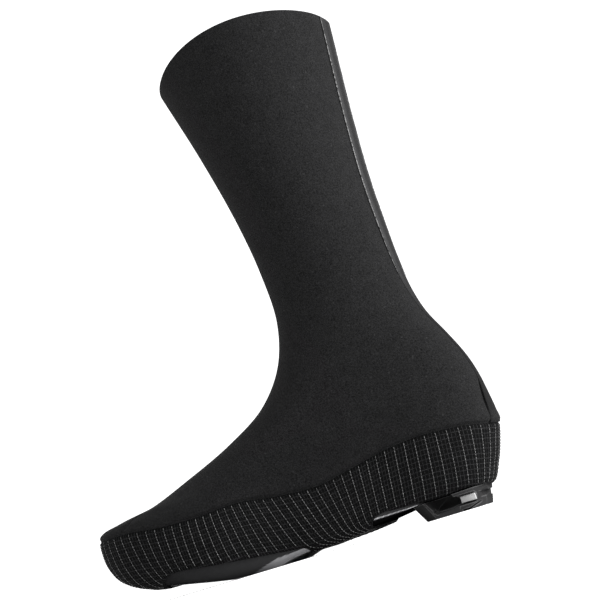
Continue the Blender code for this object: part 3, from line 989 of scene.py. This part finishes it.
class OVERSHOE_OT_upper(bpy.types.Operator):
    """Stretch sleeve from the rand's seam to the collar, with a rolled lower edge and a rounded rim"""

    bl_idname = "overshoe.upper"
    bl_label = "Upper"

    def execute(self, context):
        look = context.scene.overshoe_look
        level = UPPER_ROWS[:, None]
        turn = UPPER_TURNS[None, :]
        base = form_points(level, turn)
        normal = form_normals(level, turn)
        relief = upper_relief(look, level, turn, base)
        outer = base + normal * (UPPER_WALL + relief)[..., None]
        outer[0, :, 2] -= PIECE_GAP
        rim = base[-1] + normal[-1] * (UPPER_WALL / 2)
        rim[:, 2] += COLLAR_RIM
        inner = base[::-2]
        mesh = grid_mesh("softshell_upper", np.concatenate([outer, rim[None], inner]), close_rows=True)
        add_piece("softshell_upper", mesh, softshell_material(look), ["upper"])
        return {"FINISHED"}


RAND_TURNS = np.linspace(0.0, 2 * math.pi, 241)
RAND_LEVELS = np.concatenate([
    np.linspace(-1.0, 0.0, 9)[:-1],
    np.linspace(0.0, SEAM_LEVEL - 0.25, 35),
    SEAM_LEVEL - np.array((0.18, 0.12, 0.06, 0.0)),
])

# Cuts and how far each reaches to both sides: beside the heel pad the hem hangs lower than over it
HEEL_SIDE_HEM = OPENINGS[1]._replace(name="heel_side_hem", front_hem=13.5, back_hem=11.4)
PAD_HEM = OPENINGS[1]._replace(name="pad_hem", back_hem=12.7)
HEM_CUTS = ((OPENINGS[0], 100 * MM), (PAD_HEM, 26 * MM), (HEEL_SIDE_HEM, 100 * MM))
HEM_STEPS = 61
CUT_FLOOR = -20.0 * MM

# Sag of the lower edge at the back of the heel: its depth, and where it starts and is full, by the
# backward share of the turn around the foot and by level
HEEL_SAG = 2.0 * MM
SAG_TURN = (0.80, 0.96)
SAG_LEVELS = (1.8, 0.8)

# The upper edge is tucked in under the upper's roll
RAND_TUCK = 0.75 * MM
RAND_ROLL = 2.0 * MM


def rand_points(level, turn, out):
    """Points of the rand at a distance out from the form; its lower edge sags at the back of the heel."""
    points = skin_points(level, turn, out)
    points[..., 2] -= HEEL_SAG * smooth_step(-np.cos(turn), *SAG_TURN) * smooth_step(level, *SAG_LEVELS)
    return points


def opening_mesh(opening, reach):
    """Prism across the foot, as wide as it reaches, with the opening's hem as its roof."""
    front = foot_x(opening.front)
    back = foot_x(opening.back)
    x = mix(back, front, (1 - np.cos(np.linspace(0.0, math.pi, HEM_STEPS))) / 2)
    roof = hem_height(opening, np.clip(x, back + 1e-7, front - 1e-7))
    profile = np.concatenate([np.stack([x, roof], 1), [[front, CUT_FLOOR], [back, CUT_FLOOR]]])
    mesh = bpy.data.meshes.new(opening.name)
    with edited(mesh) as bm:
        face = bm.faces.new([bm.verts.new((a, -reach, b)) for a, b in profile])
        grown = bmesh.ops.extrude_face_region(bm, geom=[face])
        moved = [v for v in grown["geom"] if isinstance(v, bmesh.types.BMVert)]
        bmesh.ops.translate(bm, verts=moved, vec=(0.0, 2 * reach, 0.0))
        bm.normal_update()
        bmesh.ops.recalc_face_normals(bm, faces=bm.faces[:])
    return mesh


def cut_openings(item):
    """Wall of the rand, cut open under forefoot and heel."""
    wall = item.modifiers.new("Wall", "SOLIDIFY")
    wall.thickness = RAND_WALL
    wall.offset = 1.0
    return [add_cut(item, opening_mesh(opening, reach)) for opening, reach in HEM_CUTS]


class OVERSHOE_OT_rand(bpy.types.Operator):
    """Ripstop band around the foot, wrapped under it and cut open at forefoot and heel"""

    bl_idname = "overshoe.rand"
    bl_label = "Rand"

    def execute(self, context):
        look = context.scene.overshoe_look
        band = Band()
        level = RAND_LEVELS[:, None]
        turn = RAND_TURNS[None, :]
        rows = rand_points(level, turn, 0.0)
        rows[-1, :, 2] -= PIECE_GAP / 2
        depth = running_length(np.swapaxes(rows[::-1], 0, 1)).T[::-1]
        along = np.broadcast_to(np.interp(RAND_TURNS, band.turns, band.along), depth.shape)
        uv = np.stack([band.number(along, depth), depth], axis=-1)
        tuck = RAND_TUCK * (1 - smooth_step(depth, 0.0, RAND_ROLL))
        rows -= form_normals(level, turn) * tuck[..., None]
        mesh = clean_mesh(evaluated_mesh(grid_mesh("ripstop_rand", rows, uv), cut_openings))
        add_piece("ripstop_rand", mesh, ripstop_material(look), ["rand"])
        return {"FINISHED"}


# Stitches: faces of one, how deep it sinks in and stands out, and its top's share of its base; depth of
# the first one, clearance to a hem, and shortest and longest one against the usual length
DASH_FACES = ((0, 1, 5, 4), (1, 2, 6, 5), (2, 3, 7, 6), (3, 0, 4, 7), (4, 5, 6, 7), (3, 2, 1, 0))
DASH_SINK = 0.1 * MM
DASH_RISE = 0.22 * MM
DASH_CROWN = 0.6
FIRST_DASH = 1.2 * MM
DASH_CLEAR = 0.5 * MM
DASH_SHORTEST = 0.3
DASH_LONGEST = 2.0


def dash_boxes(start, end, normal, width):
    """Low cushions between pairs of points, narrower on top."""
    along = unit(end - start)
    across = unit(np.cross(normal, along)) * width / 2
    points = []
    for height, share in ((-DASH_SINK, 1.0), (DASH_RISE, DASH_CROWN)):
        shrink = (end - start) * (1 - share) / 2
        lift = normal * height
        side = across * share
        points += [
            start + shrink - side + lift,
            start + shrink + side + lift,
            end - shrink + side + lift,
            end - shrink - side + lift,
        ]
    return np.stack(points, axis=1)


class OVERSHOE_OT_threads(bpy.types.Operator):
    """Reflective threads of the rand, each a row of short raised stitches"""

    bl_idname = "overshoe.threads"
    bl_label = "Reflective threads"

    def execute(self, context):
        look = context.scene.overshoe_look
        band = Band()
        boxes = []
        depth = np.arange(FIRST_DASH, band.depths.max(), look.dash_pitch)
        count = int(np.abs(band.numbers).max())
        for number in range(-count, count + 1):
            spots = []
            for offset in (0.0, look.dash_length):
                turn, level, inside = band.place(number, depth + offset)
                spots.append(rand_points(level, turn, RAND_WALL))
            start, end = spots
            normal = form_normals(level, turn)
            stretch = np.linalg.norm(end - start, axis=1) / look.dash_length
            keep = inside & (stretch > DASH_SHORTEST) & (stretch < DASH_LONGEST)
            keep &= ~in_opening(start, DASH_CLEAR) & ~in_opening(end, DASH_CLEAR)
            boxes.append(dash_boxes(start[keep], end[keep], normal[keep], look.thread_width))
        points = np.concatenate(boxes)
        faces = np.arange(len(points))[:, None, None] * 8 + np.array(DASH_FACES)[None]
        mesh = bpy.data.meshes.new("reflective_threads")
        mesh.from_pydata(points.reshape(-1, 3).tolist(), [], faces.reshape(-1, 4).tolist())
        mesh = clean_mesh(mesh, merge=0.001 * MM, sharp=60.0)
        add_piece("reflective_threads", mesh, thread_material(look))
        return {"FINISHED"}


def tape_turns(level, across):
    """Turn at which the back of the form lies a given distance to the outer side of its middle."""
    turn = np.linspace(math.pi / 2, math.pi, 400)
    y = form_points(np.full_like(turn, level), turn)[:, 1]
    return np.interp(-across, -(y - y[-1]), turn)


TAPE_ACROSS = np.concatenate([[-1.0], np.linspace(-0.97, 0.97, 15), [1.0]])
TAPE_LEVELS = np.concatenate([
    SEAM_LEVEL + np.linspace(0.0, 1.0, 9), np.linspace(SEAM_LEVEL + 1, COLLAR_LEVEL, 100)[1:],
])

# Tape face: flap over the heel with its lip, strap from the piping's start up, and a flatter stretch
# between; how deep its back lies in the upper, and how far its top stays below the collar
FLAP_HEIGHT = 34.0 * MM
FLAP_LIP = 1.5 * MM
STRAP_FADE = 30.0 * MM
TAPE_FLAT = 0.3
TAPE_SINK = 0.3 * MM
COLLAR_DROP = 0.4 * MM

# Reflective bead along both edges: its radius, where it starts, over which length and from which share
# of its radius it grows, and over which length and by which share it thins out below the collar
PIPING_RADIUS = 0.36 * MM
PIPING_START = 112.0 * MM
PIPING_GROWTH = 60.0 * MM
PIPING_THIN = 0.3
PIPING_END = 22.0 * MM
PIPING_END_LOSS = 0.6


def tape_grid():
    """Levels and turns of the back tape's points."""
    turns = []
    for level, width in zip(TAPE_LEVELS, tape_half_width(TAPE_LEVELS)):
        outer = tape_turns(level, np.abs(TAPE_ACROSS) * width)
        turns.append(np.where(TAPE_ACROSS > 0, outer, 2 * math.pi - outer))
    return TAPE_LEVELS[:, None], np.array(turns)


def tape_face_mesh(level, turn, height):
    """Closed band of the tape, sunk a little into the upper."""
    flap = 1.0 - smooth_step(height, FLAP_HEIGHT * 0.4, FLAP_HEIGHT)
    strap = smooth_step(height, PIPING_START - STRAP_FADE, PIPING_START + STRAP_FADE)
    raised = np.maximum(flap * smooth_step(height, 0.0, FLAP_LIP), strap)
    low = UPPER_WALL - TAPE_SINK
    top = UPPER_WALL + TAPE_WALL * mix(TAPE_FLAT, 1.0, raised)
    edge = np.abs(TAPE_ACROSS)[None, :] == 1.0
    face = skin_points(level, turn, np.where(edge, mix(low, top, 0.5), top))
    back = skin_points(level, turn, np.full_like(top, low))
    face[-1, :, 2] -= COLLAR_DROP
    uv = np.stack([np.broadcast_to(TAPE_ACROSS, height.shape), height], axis=-1)
    rows = np.concatenate([face, back[::-1]])
    mesh = grid_mesh("back_tape_face", rows, np.concatenate([uv, uv[::-1]]), close_rows=True, sharp=35.0)
    with edited(mesh) as bm:
        bmesh.ops.holes_fill(bm, edges=[e for e in bm.edges if e.is_boundary], sides=0)
        bmesh.ops.recalc_face_normals(bm, faces=bm.faces[:])
    return mesh


def piping_mesh(turn, height):
    """Beads along the tape's two edges."""
    parts = []
    for side in (0, -1):
        bead = height[:, side] > PIPING_START
        level = TAPE_LEVELS[bead]
        path = skin_points(level, turn[bead, side], UPPER_WALL + TAPE_WALL)
        normals = form_normals(level, turn[bead, side])
        up = height[bead, side]
        growth = mix(PIPING_THIN, 1.0, smooth_step(up, PIPING_START, PIPING_START + PIPING_GROWTH))
        end = 1.0 - PIPING_END_LOSS * smooth_step(up, up[-1] - PIPING_END, up[-1])
        rings = tube_rows(path, normals, growth * end * PIPING_RADIUS)
        parts.append((rings.reshape(-1, 3), quads(*rings.shape[:2])))
    return clean_mesh(merged_mesh("back_tape_edges", parts), sharp=60.0)


class OVERSHOE_OT_back_tape(bpy.types.Operator):
    """Tape over the back seam from the rand to the collar, with a pale reflective edge on both sides"""

    bl_idname = "overshoe.back_tape"
    bl_label = "Back tape"

    def execute(self, context):
        look = context.scene.overshoe_look
        level, turn = tape_grid()
        height = running_length(np.swapaxes(form_points(level, turn), 0, 1)).T
        face = tape_face_mesh(level, turn, height)
        add_piece("back_tape_face", face, tape_material(look), ["back_tape"])
        add_piece("back_tape_edges", piping_mesh(turn, height), piping_material(look))
        return {"FINISHED"}


# Rim of the sole as a share of the height up to the seam, its floor inside, and the rows of its faces
PLATE_RIM_RISE = 0.30
PLATE_RIM_WIDTH = 2.6 * MM
PLATE_FLOOR = 4.2 * MM
PLATE_FLOOR_LEVEL = 0.4
PLATE_TURNS = np.linspace(0.0, 2 * math.pi, 201)
TREAD_ROWS = 6
TREAD_EDGE = 0.015
SIDE_ROWS = 41
FLOOR_ROWS = 4

# Level of the sole's painted highlight along the foot: it climbs the side in front of the heel pad
SoleEdge = namedtuple("SoleEdge", "share level")
SOLE_EDGE = (
    SoleEdge(0.205, 0.00),
    SoleEdge(0.220, 0.08),
    SoleEdge(0.242, 0.34),
    SoleEdge(0.265, 0.60),
    SoleEdge(0.287, 0.82),
    SoleEdge(0.320, 1.06),
    SoleEdge(0.360, 0.00),
)

# Levels from the line of the painted highlight, and the painted light there: none below it (painted shade),
# the full highlight on it and a little above it
SOLE_EDGE_LIGHT = ((-0.16, -0.06, 0.06, 0.16), (0.0, 1.0, 1.0, 0.3))
# Shares along the foot behind which the painted highlight gives way to painted shade
SOLE_EDGE_LIGHT_BACK = (0.19, 0.20)

# Painted reflection at the shank of the sole: level that it reaches up the side along the foot, and its
# painted light there
ShankSheen = namedtuple("ShankSheen", "share level polish")
SHANK_SHEEN = (
    ShankSheen(0.440, 0.88, 0.80),
    ShankSheen(0.490, 0.86, 0.78),
    ShankSheen(0.530, 1.14, 0.70),
    ShankSheen(0.560, 0.85, 0.62),
    ShankSheen(0.610, -0.10, 0.50),
)
SHANK_ENDS = ((0.40, 0.43, 0.60, 0.615), (0.0, 1.0, 1.0, 0.0))
SHANK_SIDE = 0.3
SHANK_BLUR = 0.05


def plate_points(level, depth, rise):
    """Row of points inside the form, set a rise above the sole's underside."""
    points = skin_points(np.full_like(PLATE_TURNS, level), PLATE_TURNS, -depth)
    share = (points[:, 0] - foot_x(0.0)) / FOOT_LENGTH
    points[:, 2] = table_curve(SOLE_PROFILE, "height", share) * MM + rise
    return points


def inward_rows(row, count):
    """Rows from a closed row in to its middle line, so that the face between is level across."""
    twin = row[::-1]
    return [mix(row, twin, k / count / 2) for k in range(1, count + 1)]


def sole_painted_light(level, share):
    """Painted light of the sole: painted shade underneath, the full painted highlight on its edge, and some
    painted reflection over the shank.
    """
    edge = np.interp(share, column(SOLE_EDGE, "share"), column(SOLE_EDGE, "level"))
    polish = np.interp(level - edge, *SOLE_EDGE_LIGHT) * smooth_step(share, *SOLE_EDGE_LIGHT_BACK)
    top = np.interp(share, column(SHANK_SHEEN, "share"), column(SHANK_SHEEN, "level"))
    sheen = np.interp(share, column(SHANK_SHEEN, "share"), column(SHANK_SHEEN, "polish"))
    shank = mix(SHANK_SIDE, sheen, smooth_step(top - level, -SHANK_BLUR, SHANK_BLUR))
    return mix(polish, shank, np.interp(share, *SHANK_ENDS))


def sole_material(look):
    """Composite sole with painted light: painted shade underneath, a painted highlight along the lower edge,
    a painted reflection at the shank, and a side painted paler towards the heel.
    """
    material, tree, shader = new_material("sole_composite", Roughness=0.5, Specular_IOR_Level=0.0)
    grain = grouped(tree, moulded_grain_group(), Grain_Scale=700.0)
    flat = flat_place(tree)
    polish = flat["Y"]
    colour = look.sole_colour
    fore = toned(tree, grain["Tone"], colour, 0.8, 1.15)
    heel = toned(tree, grain["Tone"], colour, 1.8, 2.3)
    # Painted light: the side runs paler towards the heel
    side = mixed_colour(tree, mapped(tree, flat["X"], 0.7, 0.3), fore, heel)
    # Painted shade: below 0.3 the colour runs down to 0.15 of itself underneath
    lower = mixed_colour(tree, mapped(tree, polish, 0.0, 0.3), shade(colour, 0.15), side)
    # Painted highlight and painted reflection: from 0.5 up the colour runs towards a far paler shade
    highlight_colour = shade(colour, look.sole_edge_highlight)
    paint(tree, shader, mixed_colour(tree, mapped(tree, polish, 0.5, 1.0), lower, highlight_colour))
    add_bump(tree, shader, grain["Height"], *MOULDED_RELIEF)
    return material


class OVERSHOE_OT_sole(bpy.types.Operator):
    """Stiff cupped sole that closes the rand underneath"""

    bl_idname = "overshoe.sole"
    bl_label = "Sole"

    def execute(self, context):
        look = context.scene.overshoe_look
        low = SIDE_LEVELS[1].rise
        rim = 1 + (PLATE_RIM_RISE - low) / (SIDE_LEVELS[2].rise - low)
        inner = PIECE_GAP + PLATE_RIM_WIDTH
        tread = plate_points(0.0, PIECE_GAP, 0.0)
        rows = inward_rows(tread, TREAD_ROWS)[::-1] + [mix(tread, tread[::-1], TREAD_EDGE), tread]
        levels = [-1.0] * (len(rows) - 1) + [0.0]
        for level in np.linspace(0.0, rim, SIDE_ROWS)[1:]:
            rows.append(skin_points(np.full_like(PLATE_TURNS, level), PLATE_TURNS, -PIECE_GAP))
            levels.append(level)
        rows.append(skin_points(np.full_like(PLATE_TURNS, rim), PLATE_TURNS, -inner))
        floor = plate_points(PLATE_FLOOR_LEVEL, inner, PLATE_FLOOR)
        rows += [mix(rows[-1], floor, share) for share in (0.33, 0.67)] + [floor]
        rows += inward_rows(floor, FLOOR_ROWS)
        rows = np.array(rows)
        levels += [rim] * (len(rows) - len(levels))
        share = (rows[..., 0] - foot_x(0.0)) / FOOT_LENGTH
        # The flat coordinates carry the share along the foot and the painted light of the sole
        uv = np.stack([share, sole_painted_light(np.array(levels)[:, None], share)], axis=-1)
        mesh = grid_mesh("sole_shell", rows, uv)
        add_piece("sole_shell", mesh, sole_material(look), ["sole_plate"])
        return {"FINISHED"}


# Cuts in the heel pad's outer side, millimetres: the scoop in front of the plug, open to the sole above
# it, the slot that rises across the tread, the groove around the back, the cut-off back corner and the
# line under the flange
Corner = namedtuple("Corner", "x y z")
PAD_SCOOP = (
    Corner(-95.2, 26.0, 1.7),
    Corner(-112.0, 26.0, 3.2),
    Corner(-94.0, 10.0, 6.4),
    Corner(-112.0, 10.0, 6.8),
    Corner(-88.6, 26.0, 13.5),
    Corner(-90.6, 10.0, 13.5),
    Corner(-106.6, 26.0, 13.5),
    Corner(-106.6, 10.0, 13.5),
)
PAD_SLOT = (
    Corner(-111.6, 30.0, -0.5),
    Corner(-114.0, 30.0, -0.5),
    Corner(-124.6, 30.0, 4.8),
    Corner(-123.9, 30.0, 3.6),
    Corner(-111.6, 19.0, -0.5),
    Corner(-114.0, 19.0, -0.5),
    Corner(-124.6, 12.0, 4.8),
    Corner(-123.9, 12.0, 3.6),
)
PAD_GROOVE = tuple(Corner(x, y, z) for x in (-135.0, -122.3) for y in (-1.0, 30.0) for z in (5.5, 9.0))
PAD_BACK = (
    Corner(-127.8, 5.0, 14.0),
    Corner(-119.8, 26.0, 14.0),
    Corner(-135.0, 5.0, 14.0),
    Corner(-135.0, 26.0, 14.0),
    Corner(-124.2, 5.0, -1.0),
    Corner(-116.2, 26.0, -1.0),
    Corner(-135.0, 5.0, -1.0),
    Corner(-135.0, 26.0, -1.0),
)
PAD_FLANGE = tuple(Corner(x, y, z) for x in (-135.0, -104.0) for y in (20.5, 30.0) for z in (9.2, 10.1))
PAD_CUTS = (PAD_SCOOP, PAD_SLOT, PAD_GROOVE, PAD_BACK, PAD_FLANGE)

# Rounding of the edges
PAD_EDGE = 0.22 * MM
PLUG_EDGE = 0.35 * MM
EDGE_SEGMENTS = 3
EDGE_ANGLE = math.radians(25)


def hull_mesh(name, corners, side):
    """Convex block around some corners, on the outer or the inner side of the foot."""
    mesh = bpy.data.meshes.new(name)
    with edited(mesh) as bm:
        for corner in corners:
            bm.verts.new((corner.x * MM, corner.y * MM * side, corner.z * MM))
        bmesh.ops.convex_hull(bm, input=bm.verts[:])
        bmesh.ops.recalc_face_normals(bm, faces=bm.faces[:])
    return mesh


def soften_edges(item, width):
    """Rounds the edges of a moulded piece."""
    bevel = item.modifiers.new("Edges", "BEVEL")
    bevel.width = width
    bevel.segments = EDGE_SEGMENTS
    bevel.limit_method = "ANGLE"
    bevel.angle_limit = EDGE_ANGLE
    bevel.use_clamp_overlap = True


def carve_pad(item):
    """Cuts on both sides of the pad, and its softened edges."""
    cutters = [add_cut(item, hull_mesh("pad_cut", corners, side)) for side in (1, -1) for corners in PAD_CUTS]
    soften_edges(item, PAD_EDGE)
    return cutters


def soften_plug(item):
    """Softened edges of a plug."""
    soften_edges(item, PLUG_EDGE)


class OVERSHOE_OT_heel_pad(bpy.types.Operator):
    """Moulded tread pad under the heel, with softened edges, and the pale plugs in its pockets"""

    bl_idname = "overshoe.heel_pad"
    bl_label = "Heel pad"

    def execute(self, context):
        look = context.scene.overshoe_look
        pad = evaluated_mesh(solid_copy("heel_pad"), carve_pad)
        material = moulded_material("pad_plastic", look.pad_colour, 0.5, gloss=0.0, highlighted=look.pad_edge_highlight)
        add_piece("heel_pad_tread", clean_mesh(pad, sharp=30.0), material, ["heel_pad"])
        material = moulded_material("insert_plastic", look.insert_colour, 0.45)
        for node in ("heel_pad_insert_outer", "heel_pad_insert_inner"):
            plug = evaluated_mesh(solid_copy(node), soften_plug)
            name = node.replace("heel_pad_insert", "pad_plug")
            add_piece(name, clean_mesh(plug, sharp=30.0), material, [node])
        return {"FINISHED"}


# Floor, lights and camera: metres, and the sensor in millimetres
FLOOR_HALF = 8.0
FLOOR_DROP = 0.02 * MM
LIGHT_AIM = (-0.06, 0.0, 0.16)
Softbox = namedtuple("Softbox", "name place size")
KEY_SOFTBOX = Softbox("key_softbox", (-1.4, 0.1, 0.6), 0.9)
FILL_SOFTBOX = Softbox("fill_softbox", (0.3, 1.5, 1.1), 1.2)
SENSOR_WIDTH = 36.0


def add_softbox(box, power):
    """Square area light that faces the shoe."""
    light = bpy.data.lights.new(box.name, "AREA")
    light.energy = power
    light.size = box.size
    item = link_object(box.name, light)
    item.location = box.place
    item.visible_camera = False
    item.rotation_euler = (Vector(LIGHT_AIM) - Vector(box.place)).to_track_quat("-Z", "Y").to_euler()


def add_camera(stage):
    """Camera low beside the heel, rolled about its line of sight."""
    place = Vector((-math.sin(stage.swing), math.cos(stage.swing), 0.0)) * stage.distance
    place.z = stage.height
    sight = (Vector(stage.aim) - place).normalized()
    level = sight.cross(Vector((0.0, 0.0, 1.0))).normalized()
    upright = level.cross(sight)
    right = level * math.cos(stage.roll) + upright * math.sin(stage.roll)
    up = upright * math.cos(stage.roll) - level * math.sin(stage.roll)
    data = bpy.data.cameras.new("camera")
    data.sensor_width = SENSOR_WIDTH
    data.lens = stage.focal_length
    data.clip_start = 0.01
    item = link_object("camera", data)
    item.matrix_world = Matrix.Translation(place) @ Matrix((right, up, -sight)).transposed().to_4x4()
    bpy.context.scene.camera = item


class OVERSHOE_OT_stage(bpy.types.Operator):
    """Pale floor, white surround, two softboxes and the camera"""

    bl_idname = "overshoe.stage"
    bl_label = "Stage"

    def execute(self, context):
        stage = context.scene.overshoe_stage
        scene = context.scene
        mesh = bpy.data.meshes.new("floor")
        with edited(mesh) as bm:
            bmesh.ops.create_grid(bm, x_segments=4, y_segments=4, size=FLOOR_HALF)
        floor = link_object("floor", mesh)
        floor.location.z = -FLOOR_DROP
        material, _, _ = new_material(
            "floor_paint", Base_Color=(*stage.floor_colour, 1.0), Roughness=0.9, Specular_IOR_Level=0.1
        )
        mesh.materials.append(material)
        world = bpy.data.worlds.new("surround")
        world.use_nodes = True
        background = world.node_tree.nodes["Background"]
        background.inputs["Color"].default_value = (1.0, 1.0, 1.0, 1.0)
        background.inputs["Strength"].default_value = stage.surround
        scene.world = world
        scene.view_settings.view_transform = "Standard"
        scene.view_settings.look = "None"
        add_softbox(KEY_SOFTBOX, stage.key_power)
        add_softbox(FILL_SOFTBOX, stage.fill_power)
        add_camera(stage)
        return {"FINISHED"}


OPERATORS = (
    OVERSHOE_OT_stage,
    OVERSHOE_OT_upper,
    OVERSHOE_OT_rand,
    OVERSHOE_OT_threads,
    OVERSHOE_OT_back_tape,
    OVERSHOE_OT_sole,
    OVERSHOE_OT_heel_pad,
)


class OVERSHOE_PT_sidebar(bpy.types.Panel):
    """Lists the pieces and their settings"""

    bl_label = "Overshoe"
    bl_idname = "OVERSHOE_PT_sidebar"
    bl_space_type = "VIEW_3D"
    bl_region_type = "UI"
    bl_category = "Overshoe"

    def draw(self, context):
        layout = self.layout
        for settings in (context.scene.overshoe_look, context.scene.overshoe_stage):
            box = layout.box()
            for key in settings.bl_rna.properties.keys():
                if key not in ("rna_type", "name"):
                    box.prop(settings, key)
        for operator in OPERATORS:
            layout.operator(operator.bl_idname)


CLASSES = (OvershoeLook, StudioStage, *OPERATORS, OVERSHOE_PT_sidebar)


def register():
    for item in CLASSES:
        bpy.utils.register_class(item)
    bpy.types.Scene.overshoe_look = PointerProperty(type=OvershoeLook)
    bpy.types.Scene.overshoe_stage = PointerProperty(type=StudioStage)


def unregister():
    del bpy.types.Scene.overshoe_stage
    del bpy.types.Scene.overshoe_look
    for item in reversed(CLASSES):
        bpy.utils.unregister_class(item)


def main():
    register()
    for operator in OPERATORS:
        family, name = operator.bl_idname.split(".")
        getattr(getattr(bpy.ops, family), name)()


if __name__ == "__main__":
    main()
